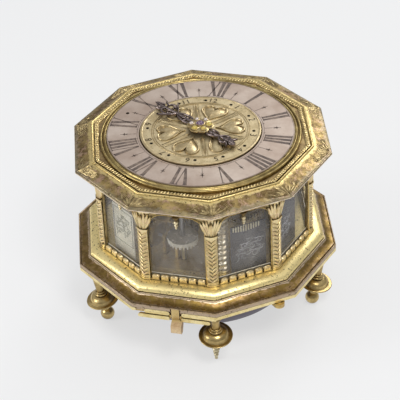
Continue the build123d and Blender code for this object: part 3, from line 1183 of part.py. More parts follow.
# Hammer spring: a stiff leaf on a foot, standing off the tail by the hammer's lift
leaf_angle = tail_angle + 90
leaf_tip = along(
    along(HAMMER_PLACE, TAIL_WIDTH / 2 + HAMMER_SPRING_GAP, leaf_angle), HAMMER_SPRING_ARM, tail_angle
)
leaf = Box(
    HAMMER_SPRING_RUN, HAMMER_SPRING_THICK, hammer_top - LOW_PLATE_TOP,
    align=(Align.MIN, Align.CENTER, Align.MIN),
)
leaf += Pos(HAMMER_SPRING_RUN, 0, 0) * Box(4.0, 4.0, 2.4, align=(Align.CENTER, Align.CENTER, Align.MIN))
parts["hammer_spring"] = Pos(leaf_tip[0], leaf_tip[1], LOW_PLATE_TOP) * Rot(0, 0, leaf_angle) * leaf

os.makedirs("parts", exist_ok=True)
for name, shape in parts.items():
    solids = []
    for item in shape if isinstance(shape, list) else [shape]:
        solids += item.solids()
    whole = solids[0] if len(solids) == 1 else Compound(solids)
    export_step(whole, os.path.join("parts", name + ".step"))
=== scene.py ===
from math import cos, hypot, pi, radians, sin, tan

import bpy
from mathutils import Matrix, Vector


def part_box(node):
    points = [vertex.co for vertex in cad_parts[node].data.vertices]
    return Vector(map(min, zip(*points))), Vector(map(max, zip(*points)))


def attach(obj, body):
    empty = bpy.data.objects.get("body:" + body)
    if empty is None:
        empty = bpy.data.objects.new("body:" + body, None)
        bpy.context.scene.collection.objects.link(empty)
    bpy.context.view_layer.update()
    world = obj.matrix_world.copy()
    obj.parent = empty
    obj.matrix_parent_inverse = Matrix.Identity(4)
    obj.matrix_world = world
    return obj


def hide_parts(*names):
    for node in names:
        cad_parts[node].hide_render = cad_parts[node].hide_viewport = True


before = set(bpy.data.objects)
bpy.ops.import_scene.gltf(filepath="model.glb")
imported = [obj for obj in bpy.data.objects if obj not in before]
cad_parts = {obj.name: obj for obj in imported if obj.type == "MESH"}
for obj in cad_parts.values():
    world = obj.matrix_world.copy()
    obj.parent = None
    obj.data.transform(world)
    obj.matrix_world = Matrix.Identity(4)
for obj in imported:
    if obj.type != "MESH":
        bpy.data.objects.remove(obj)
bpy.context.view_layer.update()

MM = 0.001

# Studio: the camera stands where the photographer stood, a little right of the face under VI,
# looking down at the dial with a long lens. The camera was tipped slightly, so the horizon rolls.
CAMERA_AZIMUTH = radians(15.35)
CAMERA_ELEVATION = radians(36.42)
CAMERA_ROLL = radians(-2.7125)
CAMERA_DISTANCE = 1.081
CAMERA_AIM = Vector((0, 0, 0.050))
FRAMING_RIGHT = -0.0025
FRAMING_UP = 0.0217
CAMERA_LENS = 142.9
SENSOR_WIDTH = 36


def staged(name, data):
    """An object of the data, linked to the scene."""
    made = bpy.data.objects.new(name, data)
    bpy.context.scene.collection.objects.link(made)
    return made


towards = Vector((
    sin(CAMERA_AZIMUTH) * cos(CAMERA_ELEVATION),
    -cos(CAMERA_AZIMUTH) * cos(CAMERA_ELEVATION),
    sin(CAMERA_ELEVATION),
))
level_right = (-towards).cross(Vector((0, 0, 1))).normalized()
level_up = level_right.cross(-towards)
camera_right = cos(CAMERA_ROLL) * level_right + sin(CAMERA_ROLL) * level_up
camera_up = -sin(CAMERA_ROLL) * level_right + cos(CAMERA_ROLL) * level_up
camera_data = bpy.data.cameras.new("studio_camera")
camera_data.lens = CAMERA_LENS
camera_data.sensor_width = SENSOR_WIDTH
camera = staged("studio_camera", camera_data)
camera_place = CAMERA_AIM + CAMERA_DISTANCE * towards
camera_place += FRAMING_RIGHT * level_right + FRAMING_UP * level_up
axes = (camera_right, camera_up, towards, camera_place)
camera.matrix_world = Matrix([[axis[row] for axis in axes] for row in range(3)] + [[0, 0, 0, 1]])
bpy.context.scene.camera = camera
bpy.context.scene.view_settings.view_transform = "Standard"


def feed(tree, socket, value):
    """Gives a socket a value, a colour, another node's output, or the first output of a node."""
    if isinstance(value, bpy.types.Node):
        value = value.outputs[0]
    if isinstance(value, bpy.types.NodeSocket):
        tree.links.new(value, socket)
    else:
        socket.default_value = value + (1,) if isinstance(value, tuple) else value


def node(tree, kind, settings=None, **inputs):
    """A shader node with its settings and inputs; i1 is the input number 1."""
    made = tree.nodes.new("ShaderNode" + kind)
    for key, value in (settings or {}).items():
        setattr(made, key, value)
    for key, value in inputs.items():
        by_number = key[0] == "i" and key[1:].isdigit()
        feed(tree, made.inputs[int(key[1:]) if by_number else key.replace("_", " ")], value)
    return made


def larger(tree, first, second):
    return node(tree, "Math", {"operation": "MAXIMUM"}, i0=first, i1=second)


def span(tree, value, low, high, to_low=0.0, to_high=1.0):
    return node(tree, "MapRange", Value=value, From_Min=low, From_Max=high, To_Min=to_low, To_Max=to_high)


def mix(tree, share, first, second):
    return node(tree, "MixRGB", Fac=share, Color1=first, Color2=second)


def object_place(tree):
    return (tree.nodes.get("Texture Coordinate") or node(tree, "TexCoord")).outputs["Object"]


def noise(tree, scale, detail=2.0, rough=0.5, distortion=0.0):
    return node(
        tree, "TexNoise", Vector=object_place(tree), Scale=scale, Detail=detail, Roughness=rough,
        Distortion=distortion
    )


def new_material(name):
    made = bpy.data.materials.new(name)
    made.use_nodes = True
    return made, made.node_tree


def dress(tree, **inputs):
    """Feeds the sockets of a material's own shader."""
    for key, value in inputs.items():
        feed(tree, tree.nodes["Principled BSDF"].inputs[key.replace("_", " ")], value)


world = bpy.data.worlds.new("pale_room")
bpy.context.scene.world = world
world.use_nodes = True
sky = world.node_tree
sky.nodes.clear()
height = node(sky, "SeparateXYZ", i0=node(sky, "TexCoord").outputs["Generated"]).outputs["Z"]
room = node(sky, "ValToRGB", i0=span(sky, height, -0.4, 1.0))
room_tones = ((0.25, (0.22, 0.21, 0.20, 1)), (0.85, (0.62, 0.63, 0.66, 1)))
for element, (position, colour) in zip(room.color_ramp.elements, room_tones):
    element.position = position
    element.color = colour
rays = node(sky, "LightPath").outputs
seen = larger(sky, rays["Is Camera Ray"], rays["Is Transmission Ray"])
backdrop = mix(sky, seen, room, (0.87, 0.875, 0.88))
node(sky, "OutputWorld", i0=node(sky, "Background", Color=backdrop, Strength=1.0))


def softbox(name, place, size, power, tint=(1, 1, 1)):
    lamp = bpy.data.lights.new(name, "AREA")
    lamp.shape = "DISK"
    lamp.size = size
    lamp.energy = power
    lamp.color = tint
    holder = staged(name, lamp)
    holder.location = place
    holder.rotation_euler = (Vector((0, 0, 0.09)) - Vector(place)).to_track_quat("-Z", "Y").to_euler()


softbox("right_softbox", (0.34, -0.50, 0.92), 0.30, 4.6, (1.0, 0.98, 0.95))
softbox("left_softbox", (-0.95, -0.55, 0.50), 0.55, 5.0, (0.97, 0.98, 1.0))
softbox("back_softbox", (0.25, 1.0, 0.85), 0.6, 4.0)

FLOOR_HALF = 3.0
FLOOR_GLOW = 0.66
floor_mesh = bpy.data.meshes.new("floor")
floor_corners = [(x * FLOOR_HALF, y * FLOOR_HALF, 0) for x, y in ((-1, -1), (1, -1), (1, 1), (-1, 1))]
floor_mesh.from_pydata(floor_corners, [], [(0, 1, 2, 3)])
floor = staged("floor", floor_mesh)
paper, tree = new_material("pale_paper")
dress(
    tree, Base_Color=mix(tree, noise(tree, 900.0, 3.0), (0.78, 0.79, 0.80), (0.82, 0.83, 0.84)),
    Roughness=0.9
)
rays = node(tree, "LightPath").outputs
direct = larger(
    tree, rays["Is Camera Ray"], larger(tree, rays["Is Glossy Ray"], rays["Is Transmission Ray"])
)
glow_share = node(tree, "Math", {"operation": "MULTIPLY"}, i0=direct, i1=FLOOR_GLOW)
glow = node(tree, "Emission", Color=(0.89, 0.89, 0.89), Strength=1.0)
blend = node(tree, "MixShader", Fac=glow_share, i1=tree.nodes["Principled BSDF"], i2=glow)
feed(tree, tree.nodes["Material Output"].inputs["Surface"], blend)
floor_mesh.materials.append(paper)


# Foot frame: the flat gilt ring that the clock stands on, with the hinge eyes and the catch ears.
# Cast brass, filed flat and fire-gilt; the gold is worn brown in patches, and the corners are darkened as
# painted shade.
def gilt(
    name, gold, worn, dirt_and_shade, patch=110.0, wear=0.5, gloss=0.38, dent=0.12, reach=1.6, blush=None, bands=(),
    pits=0.0, metal=1.0,
):
    """Fire-gilt brass: gold worn through in patches, dark spots of grime, painted shade in the corners, a
    pink blush where it is thin.

    Each band is (level, level where it is full, colour, share): the colour comes in unevenly with height."""
    made, tree = new_material(name)
    broad = noise(tree, patch, 6.0, 0.62)
    fine = noise(tree, patch * 9, 3.0, 0.6)
    tone = mix(tree, span(tree, broad, wear - 0.1, wear + 0.14), worn, gold)
    if blush:
        thin = noise(tree, patch * 2.3, 5.0, 0.7, 0.8)
        tone = mix(tree, span(tree, thin, 0.50, 0.62, 0.0, 0.85), tone, blush)
    if bands:
        level = node(tree, "SeparateXYZ", i0=object_place(tree)).outputs["Z"]
        shift = span(tree, noise(tree, 260.0, 4.0, 0.65), 0.3, 0.7, -0.5 * MM, 0.5 * MM)
        uneven = node(tree, "Math", i0=level, i1=shift)
        for start, full, colour, share in bands:
            tone = mix(tree, span(tree, uneven, start * MM, full * MM, 0.0, share), tone, colour)
    tone = mix(tree, span(tree, fine, 0.60, 0.68, 0.0, 0.6), tone, dirt_and_shade)
    if pits:
        tone = mix(tree, span(tree, noise(tree, 620.0, 2.0, 0.55), 0.635, 0.67, 0.0, pits), tone, dirt_and_shade)
    # Painted shade: ambient occlusion darkens the colour in corners and crevices within reach.
    crevice_shade = node(tree, "AmbientOcclusion", {"samples": 6}, Distance=reach * MM).outputs["AO"]
    tone = mix(tree, span(tree, crevice_shade, 0.35, 0.85), dirt_and_shade, tone)
    dents = node(tree, "Bump", Strength=dent * 1.6, Distance=0.5 * MM, Height=noise(tree, 230.0))
    grain = node(tree, "Bump", Strength=dent, Distance=0.3 * MM, Height=fine, Normal=dents)
    matt = span(tree, broad, 0.0, 1.0, gloss + 0.16, gloss - 0.08)
    dress(tree, Base_Color=tone, Metallic=metal, Roughness=matt, Normal=grain)
    return made


def finish_nodes(finish, *names):
    """Gives pieces that stay as they were made their finish."""
    for name in names:
        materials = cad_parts[name].data.materials
        materials.clear()
        materials.append(finish)


# Brown for grime spots; gilt() also uses it as the painted shade in corners.
BROWN_DIRT_AND_SHADE = (0.10, 0.065, 0.03)
finish_nodes(gilt("gilt_foot_frame", (0.72, 0.53, 0.20), (0.45, 0.31, 0.13), BROWN_DIRT_AND_SHADE), "foot_frame")


# Feet: a stem with a flange, a domed saucer with a thin rim, and a ball below it.
# Each is turned in brass, screwed together and gilt; the front foot ends in a ringed finial.
def on_circle(radius, degrees, height=0.0):
    return Vector((radius * cos(radians(degrees)), radius * sin(radians(degrees)), height))


def turned(profile, segments=64):
    """A lathe-turned shell, in millimetres like every shell, from (radius, height) points in order."""
    verts, faces, rows = [], [], []
    for radius, height in profile:
        if radius < 1e-4:
            rows.append([len(verts)] * segments)
            verts.append(Vector((0, 0, height)))
        else:
            rows.append(list(range(len(verts), len(verts) + segments)))
            verts += [on_circle(radius, 360 * k / segments, height) for k in range(segments)]
    for low, high in zip(rows, rows[1:] + rows[:1]):
        for k in range(segments):
            corner = [low[k], low[(k + 1) % segments], high[(k + 1) % segments], high[k]]
            unique = list(dict.fromkeys(corner))
            if len(unique) > 2:
                faces.append(tuple(unique))
    return verts, faces


def placed(shell, matrix):
    return [matrix @ v for v in shell[0]], shell[1]


def together(shells):
    """Several shells as one."""
    verts, faces = [], []
    for more_verts, more_faces in shells:
        start = len(verts)
        verts += more_verts
        faces += [tuple(start + k for k in face) for face in more_faces]
    return verts, faces


def piece(name, shell, finish, body="case", replaces=(), crease=32.0):
    """An object made of a shell, with its finish and body; edges sharper than crease stay sharp."""
    mesh = bpy.data.meshes.new(name)
    mesh.from_pydata([v * MM for v in shell[0]], [], shell[1])
    mesh.validate()
    mesh.materials.append(finish)
    mesh.shade_smooth()
    mesh.set_sharp_from_angle(angle=radians(crease))
    made = staged(name, mesh)
    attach(made, body)
    if replaces:
        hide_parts(*replaces)
    return made


def arc(centre, radius, start, end, steps=8):
    """Points on a circle, for a rounded stretch of a profile; angles in degrees."""
    turns = [radians(start + (end - start) * k / steps) for k in range(steps + 1)]
    return [(centre[0] + radius * cos(turn), centre[1] + radius * sin(turn)) for turn in turns]


FEET = 5
FOOT_FIRST = -72.0
FOOT_CIRCLE = 81.0
FOOT_LEAN = 10.0
FRAME_UNDERSIDE = 44.0
FRONT_RIM, RIM = 24.0, 17.5
SAUCER_RADIUS = 11.2
BALL_RADIUS = 4.75
BALL_FLAT = 0.2
FINIAL_RINGS = ((0.12, 2.8), (0.27, 2.9), (0.42, 2.9), (0.56, 2.5), (0.69, 2.0), (0.82, 1.6))


def down_axis(height):
    """Where the leaning axis of a foot passes a height above the table."""
    return -(FRAME_UNDERSIDE - height) / cos(radians(FOOT_LEAN))


stems, saucers, ends = [], [], []
for k in range(FEET):
    stand = Matrix.Rotation(radians(FOOT_FIRST + 360 / FEET * k), 4, "Z")
    stand = stand @ Matrix.Translation((FOOT_CIRCLE, 0, FRAME_UNDERSIDE))
    stand = stand @ Matrix.Rotation(radians(FOOT_LEAN), 4, "Y")
    rim = down_axis(RIM if k else FRONT_RIM)
    top = rim + 5.4
    stem = [(0, -0.2), (4.6, -0.2)] + arc((4.0, -1.2), 0.6, 60, -80) + arc((3.1, -2.9), 0.5, 80, -90, 6)
    stem += [(2.6, -3.9), (2.6, top + 3.2)] + arc((2.9, top + 2.5), 0.7, 90, -60)
    stem += arc((3.7, top + 0.9), 0.8, 90, -90) + [(0, top + 0.05)]
    dome = [(0, top), (3.0, top)] + arc((3.6, rim + 0.6), 5.0, 82, 12, 12)
    dome += [(8.9, rim + 1.1), (9.7, rim + 0.95)]
    dome += arc((SAUCER_RADIUS - 0.45, rim + 0.55), 0.45, 100, -90, 6)
    dome += [(9.6, rim + 0.15), (6.0, rim - 0.5), (3.0, rim - 0.7), (0, rim - 0.7)]
    if k:
        end = [(0, rim), (3.0, rim - 0.6), (2.2, rim - 1.6)]
        end += arc((0, down_axis(BALL_RADIUS - BALL_FLAT)), BALL_RADIUS, 62, -90, 20)
    else:
        tip = down_axis(0)
        end = [(0, rim), (3.0, rim - 0.5)]
        for level, swell in FINIAL_RINGS:
            middle = rim - (rim - tip) * level
            end += [(swell - 0.75, middle + 1.2)] + arc((swell - 0.8, middle), 0.8, 70, -70, 6)
        end += [(0.9, tip + 2.2)] + arc((0, tip + 1.2), 1.15, 50, -82, 8) + [(0, tip + 0.06)]
    for group, profile in ((stems, stem), (saucers, dome), (ends, end)):
        group.append(placed(turned(profile), stand))
ends = [([Vector((v.x, v.y, max(v.z, 0.0))) for v in verts], faces) for verts, faces in ends]
foot_gilt = gilt(
    "gilt_feet", (0.66, 0.50, 0.22), (0.36, 0.26, 0.11), (0.07, 0.045, 0.02), patch=170, gloss=0.27,
    dent=0.10, reach=3.2,
)
finial_gilt = gilt(
    "pale_finial", (0.74, 0.66, 0.44), (0.50, 0.42, 0.25), (0.10, 0.08, 0.05), patch=300, gloss=0.3
)
for name, shell, finish, solid in (
    ("foot_stem_turnings", together(stems), foot_gilt, "foot_stems"),
    ("foot_saucers", together(saucers), foot_gilt, "foot_discs"),
    ("foot_ball_turnings", together(ends[1:]), foot_gilt, "foot_balls"),
    ("front_foot_finial", ends[0], finial_gilt, "foot_finial"),
):
    piece(name, shell, finish, "foot_frame", replaces=[solid])


# Steel pins of the hinge under XII and of the catch under VI, driven through their eyes.
# Filed round and left bright.
def steel(name, colour, gloss=0.28, scratch=0.15):
    made, tree = new_material(name)
    tone = mix(tree, noise(tree, 120.0, 3.0), tuple(0.62 * c for c in colour), colour)
    grain = node(tree, "Bump", Strength=scratch, Distance=0.15 * MM, Height=noise(tree, 700.0, 4.0))
    dress(tree, Base_Color=tone, Metallic=1.0, Roughness=gloss, Normal=grain)
    return made


bright_steel = steel("bright_steel", (0.56, 0.56, 0.58))
finish_nodes(bright_steel, "hinge_pin", "catch_pin")

# Spring catch: a tongue that stands in the skirt's notch, with a rounded lug to press below.
# It is one brass forging on the catch pin, rubbed pale where thumbs press it.
catch_gilt = gilt(
    "gilt_catch", (0.80, 0.62, 0.38), (0.66, 0.46, 0.26), BROWN_DIRT_AND_SHADE, patch=260,
    bands=((42.4, 43.2, (0.66, 0.50, 0.22), 0.9),),
)
finish_nodes(catch_gilt, "spring_catch")

# Base moulding: skirt, hollow slope, bead and torus, mitred at ten corners and soldered.
# The torus is given the brightest gold of the case and the bead under it a paler tan, both partly painted
# highlight; the slope below has worn brown, partly painted shade.
SIDES = 10
CORNER_FIRST = -72.0
HALF_ANGLE = pi / SIDES
FACE_TURN = 360 / SIDES
SKIRT_RADIUS = 90.0
skirt_face = SKIRT_RADIUS * cos(HALF_ANGLE)
TORUS_X, TORUS_STRETCH = 74.9, 1.5


def quads(rows, columns, wrap=True, loop=False):
    """Faces between rows of points; wrap joins the ends of each row, loop the last row to the first."""
    faces = []
    for j in range(rows if loop else rows - 1):
        near, far = j * columns, (j + 1) % rows * columns
        for k in range(columns if wrap else columns - 1):
            following = (k + 1) % columns
            faces.append((near + k, near + following, far + following, far + k))
    return faces


def mitred(profile):
    """A moulding of ten mitred lengths from (corner radius, height) points of a closed section."""
    verts = [on_circle(r, CORNER_FIRST + FACE_TURN * k, z) for k in range(SIDES) for r, z in profile]
    return verts, [(a, d, c, b) for a, b, c, d in quads(SIDES, len(profile), loop=True)]


def block(low, high):
    """A square-edged bar between two corners."""
    (x0, y0, z0), (x1, y1, z1) = low, high
    verts = [Vector((x, y, z)) for z in (z0, z1) for y in (y0, y1) for x in (x0, x1)]
    return verts, [(0, 2, 3, 1), (4, 5, 7, 6), (0, 1, 5, 4), (2, 6, 7, 3), (0, 4, 6, 2), (1, 3, 7, 5)]


torus = [(TORUS_X + (x - TORUS_X) * TORUS_STRETCH, z) for x, z in arc((TORUS_X, 57.2), 4.6, 0, 90, 16)]
base_section = (
    [(60.0, 47.1), (88.6, 47.1), (88.6, 49.7), (90.0, 49.8), (90.0, 51.6)]
    + arc((89.55, 52.1), 0.5, 0, 110, 6)
    + [(88.9, 52.2), (88.5, 52.9)] + arc((89.8, 62.3), 9.4, 262, 222, 10) + [(82.6, 55.7)]
    + arc((82.15, 56.2), 0.5, -20, 120, 6) + [(81.6, 56.3), (81.5, 57.0)] + torus + [(60.0, 61.8)]
)
base_gilt = gilt(
    "gilt_base", (0.29, 0.195, 0.055), (0.16, 0.10, 0.03), BROWN_DIRT_AND_SHADE, dent=0.30, reach=1.4,
    blush=(0.34, 0.22, 0.11), pits=0.85,
    # Bands by height: pinkish skirt below, paler tan from the bead up, bright gold on the torus; the upper
    # two are partly painted highlight.
    bands=(
        (53.2, 51.9, (0.56, 0.44, 0.33), 0.8), (55.4, 55.7, (0.78, 0.62, 0.44), 0.75),
        (56.6, 57.4, (1.0, 0.83, 0.38), 0.88),
    ),
)
base = piece("base_mitred_moulding", mitred(base_section), base_gilt, replaces=["base_moulding"], crease=28)

NOTCH_X, NOTCH_HALF, NOTCH_TOP, NOTCH_DEPTH = 0.8, 3.2, 52.1, 3.6
notch = block(
    (NOTCH_X - NOTCH_HALF, -skirt_face - 1, 46), (NOTCH_X + NOTCH_HALF, -skirt_face + NOTCH_DEPTH, NOTCH_TOP)
)
cutter_mesh = bpy.data.meshes.new("cutter")
cutter_mesh.from_pydata([v * MM for v in notch[0]], [], notch[1])
cutter = staged("cutter", cutter_mesh)
cut = base.modifiers.new("cut", "BOOLEAN")
cut.object = cutter
cut.operation = "DIFFERENCE"
cut.solver = "EXACT"
bpy.context.view_layer.update()
notched = bpy.data.meshes.new_from_object(base.evaluated_get(bpy.context.evaluated_depsgraph_get()))
base.modifiers.clear()
base.data = notched
bpy.data.objects.remove(cutter)

# Base lower strip: a bright fillet under the skirt. It runs round nine faces between mitres, and under VI
# it is two round-ended bars, one at each side of the catch. It is brass bar, gilt and pinned to the skirt.
STRIP_LOW, STRIP_HIGH, STRIP_DEPTH = 47.15, 49.6, 2.4
FRONT_STRIP_LOW = 46.3
FRONT_STRIP_LEFT, CATCH_LEFT, CATCH_RIGHT, SHORT_END = -19.8, -3.0, 4.9, 2.4
strip_gilt = gilt(
    "gilt_lower_strip", (0.92, 0.78, 0.42), (0.74, 0.58, 0.24), BROWN_DIRT_AND_SHADE, patch=160, wear=0.44, gloss=0.36
)


def prism(low_ring, high_ring):
    """A closed shell between two rings with as many points each."""
    count = len(low_ring)
    caps = [tuple(range(count))[::-1], tuple(range(count, 2 * count))]
    return low_ring + high_ring, quads(2, count) + caps


def strip_bar(start, end, low, high, face, depth, round_start=False, round_end=False):
    """A bar along the face under VI, its ends rounded or cut to the mitre."""
    half, middle = (high - low) / 2, (low + high) / 2
    outline = arc((end - half, middle), half, -90, 90, 8) if round_end else [(end, low), (end, high)]
    if round_start:
        outline += arc((start + half, middle), half, 90, 270, 8)
    else:
        outline += [(start, high), (start, low)]
    front = [Vector((x, -face, z)) for x, z in outline]
    return prism([Vector((x * (1 - depth / face), -face + depth, z)) for x, z in outline], front)


def moved(shell, place=(0, 0, 0), turn=0.0):
    """A shell turned about the upright axis by degrees and moved."""
    return placed(shell, Matrix.Translation(place) @ Matrix.Rotation(radians(turn), 4, "Z"))


def on_face(shell, k):
    """A shell drawn on the face under VI, on the face k places further."""
    return moved(shell, turn=FACE_TURN * k)


mitre_x = SKIRT_RADIUS * sin(HALF_ANGLE)
whole_bar = strip_bar(-mitre_x, mitre_x, STRIP_LOW, STRIP_HIGH, skirt_face, STRIP_DEPTH)
strips = [on_face(whole_bar, k) for k in range(1, SIDES)]
for start, end, low, round_start, round_end in (
    (FRONT_STRIP_LEFT, CATCH_LEFT, FRONT_STRIP_LOW, True, True),
    (CATCH_RIGHT, mitre_x, FRONT_STRIP_LOW, True, False),
    (-mitre_x, -mitre_x + SHORT_END, STRIP_LOW, False, True),
):
    strips.append(strip_bar(start, end, low, STRIP_HIGH, skirt_face, STRIP_DEPTH, round_start, round_end))
piece("base_lower_strip", together(strips), strip_gilt, crease=30)

# Front bar of the foot frame: a bright bar along its edge under VI, on both sides of the catch.
# Its outer ends are rounded, and it is riveted to the frame.
FRONT_BAR_LOW, FRONT_BAR_HIGH, FRONT_BAR_FACE, FRONT_BAR_DEPTH = 43.0, 45.8, 86.2, 1.6
front_bars = [
    strip_bar(
        start, end, FRONT_BAR_LOW, FRONT_BAR_HIGH, FRONT_BAR_FACE, FRONT_BAR_DEPTH, start < 0, start > 0
    )
    for start, end in ((-24.0, -3.1), (4.9, 24.0))
]
piece("foot_frame_front_bar", together(front_bars), strip_gilt, "foot_frame", crease=30)

# Eyes of the case hinge: short tubes on the pin behind the skirt, one near each end of the pin.
# They are brazed on and gilt with the base.
hinge_low, hinge_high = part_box("hinge_pin")
hinge_axis = (hinge_low + hinge_high) / 2 / MM
EYE_BORE, EYE_RADIUS, EYE_LENGTH, EYE_CHAMFER = 1.0, 2.0, 9.0, 0.2
EYE_STATIONS = (-19.35, 28.65)
half = EYE_LENGTH / 2
eye_half = [(EYE_RADIUS, half - EYE_CHAMFER), (EYE_RADIUS - EYE_CHAMFER, half), (EYE_BORE, half)]
tube = turned([(radius, -along) for radius, along in eye_half[::-1]] + eye_half, 32)
eyes = [
    placed(tube, Matrix.Translation((station, hinge_axis.y, hinge_axis.z)) @ Matrix.Rotation(pi / 2, 4, "Y"))
    for station in EYE_STATIONS
]
piece("base_hinge_eyes", together(eyes), base_gilt)

# Bell: cast bell metal with a dark grey-violet skin, hung mouth up on a steel stud and held by a nut.
# It fills the foot frame, so its edge shows below the case.
bell_profile = (
    [(2.7, 18.0), (22.0, 18.0), (30.0, 17.2), (38.0, 15.2), (45.0, 14.0), (51.0, 14.0), (56.0, 15.6)]
    + [(59.4, 18.6), (61.4, 23.0), (62.4, 30.0), (62.9, 38.0), (63.3, 42.6)]
    + arc((62.6, 43.4), 0.6, 0, 180, 6)
    + [(61.4, 42.6), (60.9, 38.0), (60.3, 30.0), (59.3, 24.0), (57.6, 20.2), (54.8, 17.6), (50.6, 16.2)]
    + [(45.4, 16.2), (38.8, 17.3), (30.6, 19.3), (22.4, 20.0), (2.7, 20.0)]
)
bell_skin = steel("dark_bell_skin", (0.20, 0.185, 0.22), gloss=0.45, scratch=0.3)
piece("bell_casting", turned(bell_profile, 120), bell_skin, replaces=["bell"], crease=40)
finish_nodes(bright_steel, "bell_stud", "bell_nut")

# Movement plates, cocks and wheels: yellow brass, stoned and grained, left without gilding.
# The steel arbors and springs are polished. They run between the plates behind the glass.
movement_brass = gilt(
    "movement_brass", (0.70, 0.57, 0.30), (0.55, 0.42, 0.20), (0.12, 0.09, 0.05), patch=160, wear=0.42
)
finish_nodes(
    movement_brass, "bottom_plate", "top_plate", "balance_cock", "potence", "dial_wheel", "going_barrel",
    "fusee",
    "great_wheel", "second_wheel", "crown_wheel", "strike_barrel", "strike_great_wheel", "pin_wheel",
    "warning_wheel", "count_wheel",
)
# Painted light: the contrate and balance wheels get a near-white, non-metallic colour that stands in for the
# light falling on them through the glass; the colour turns dark brown from just under the top of the
# contrate wheel upward.
contrate_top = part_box("contrate_wheel")[1].z / MM
painted_lit_wheel = gilt(
    "wheel_brass_painted_light", (1.0, 0.97, 0.84), (0.98, 0.93, 0.78), (0.3, 0.25, 0.18), patch=160, gloss=0.55,
    reach=0.4,
    bands=((contrate_top - 0.45, contrate_top - 0.15, (0.22, 0.19, 0.14), 0.85),), metal=0.0,
)
finish_nodes(painted_lit_wheel, "contrate_wheel", "balance_wheel")
finish_nodes(
    bright_steel, "barrel_arbor", "fusee_chain", "count_stud", "hammer_spring", "hour_arbor", "mainspring",
    "fusee_arbor", "second_arbor", "contrate_arbor", "crown_arbor", "verge", "strike_arbor",
    "pin_wheel_arbor", "fly", "hammer", "pillar_pins",
)

# Movement pillars: five twisted columns that hold the plates apart and stand close behind the glass.
# Each is turned and filed as a barley twist, with a square-edged foot and head, and gilt.
PILLARS = 5
PILLAR_CIRCLE = 57.0
PILLAR_FIRST = -64.0
TWIST_PITCH = 4.3
FOOT_RING_HEIGHT = 3.4
plate_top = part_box("bottom_plate")[1].z / MM
plate_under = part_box("top_plate")[0].z / MM
tenon_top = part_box("movement_pillars")[1].z / MM


def twisted_column(low, high, radius, depth, pitch, around=20, per_turn=14):
    """A column whose bulge winds up around it like a rope."""
    steps = int((high - low) / pitch * per_turn)
    verts = []
    for j in range(steps + 1):
        level = low + (high - low) * j / steps
        for k in range(around):
            turn = 2 * pi * k / around
            swell = radius - depth * (0.5 - 0.5 * cos(turn - 2 * pi * level / pitch)) ** 1.5
            verts.append(Vector((swell * cos(turn), swell * sin(turn), level)))
    return verts, quads(steps + 1, around)


column = twisted_column(plate_top + FOOT_RING_HEIGHT, plate_under - FOOT_RING_HEIGHT, 4.1, 1.5, TWIST_PITCH)
foot_ring = turned([(0, 0), (4.2, 0), (4.2, 1.6), (3.4, 2.0), (4.0, 2.6), (3.6, 3.4), (0, 3.6)], 40)
head_ring = placed(foot_ring, Matrix.Diagonal((1, 1, -1, 1)))
tenon = turned(
    [(0, plate_under), (1.6, plate_under), (1.6, tenon_top - 0.3), (1.3, tenon_top), (0, tenon_top)], 24
)
pillar = together(
    [column, moved(foot_ring, (0, 0, plate_top)), moved(head_ring, (0, 0, plate_under)), tenon]
)
pillars = [moved(pillar, on_circle(PILLAR_CIRCLE, PILLAR_FIRST + 360 / PILLARS * k)) for k in range(PILLARS)]
pillar_gilt = gilt("gilt_pillars", (1.0, 0.92, 0.72), (0.80, 0.70, 0.50), BROWN_DIRT_AND_SHADE, patch=200, reach=0.8)
piece(
    "twisted_pillars", together(pillars), pillar_gilt, replaces=["movement_pillars"],
    crease=50
)

# Window panels: ten plates of cast brass with a basket arch cut in each, and a fine bead along the arch.
# A strip inside the sill holds the glass down.
finish_nodes(
    gilt("gilt_panels", (0.84, 0.70, 0.38), (0.58, 0.44, 0.20), BROWN_DIRT_AND_SHADE, patch=180, dent=0.2,
         blush=(0.70, 0.55, 0.38)),
    "window_panels",
)
PANEL_APOTHEM = -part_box("window_panels")[0].y / MM
SILL_RISE = 1.8
WINDOW_HEIGHT = 50.7
SILL_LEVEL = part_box("window_panels")[0].z / MM + SILL_RISE
CROWN_LEVEL = SILL_LEVEL + WINDOW_HEIGHT
WINDOW_HALF = 18.3
ARCH_RADIUS = 10.5
GLASS_FRONT = -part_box("window_glass")[0].y / MM
SILL_STRIP_LOW, SILL_STRIP_TOP = 61.9, 66.1


def rod(points, radius, sides=8, closed=False):
    """A round wire along points, of one radius or one for each point."""
    path = [Vector(p) for p in points]
    count = len(path)
    verts = []
    for j, point in enumerate(path):
        ahead = path[(j + 1) % count] if closed or j < count - 1 else point
        behind = path[j - 1] if closed or j else point
        line = (ahead - behind).normalized()
        side = line.cross(Vector((0, 0, 1)))
        side = side.normalized() if side.length > 1e-4 else line.cross(Vector((1, 0, 0))).normalized()
        rise = side.cross(line)
        size = radius[j] if isinstance(radius, (list, tuple)) else radius
        for k in range(sides):
            turn = 2 * pi * k / sides
            verts.append(point + size * (cos(turn) * side + sin(turn) * rise))
    faces = quads(count, sides, loop=closed)
    if not closed:
        faces += [tuple(range(sides))[::-1], tuple(range((count - 1) * sides, count * sides))]
    return verts, faces


def on_all_sides(shell):
    """Ten copies of a shell drawn on the face under VI, or on the corner on +X."""
    return together([on_face(shell, k) for k in range(SIDES)])


def arch_bead(outward, arch_radius, proud, radius, sides):
    """A bead along the edge of a window, outward of its opening."""
    half, crown = WINDOW_HALF + outward, CROWN_LEVEL + outward
    right = arc((half - arch_radius, crown - arch_radius), arch_radius, 0, 90, 8)
    line = [(half, SILL_LEVEL)] + right + [(-x, z) for x, z in reversed(right)] + [(-half, SILL_LEVEL)]
    return rod([(x, -PANEL_APOTHEM - proud, z) for x, z in line], radius, sides)


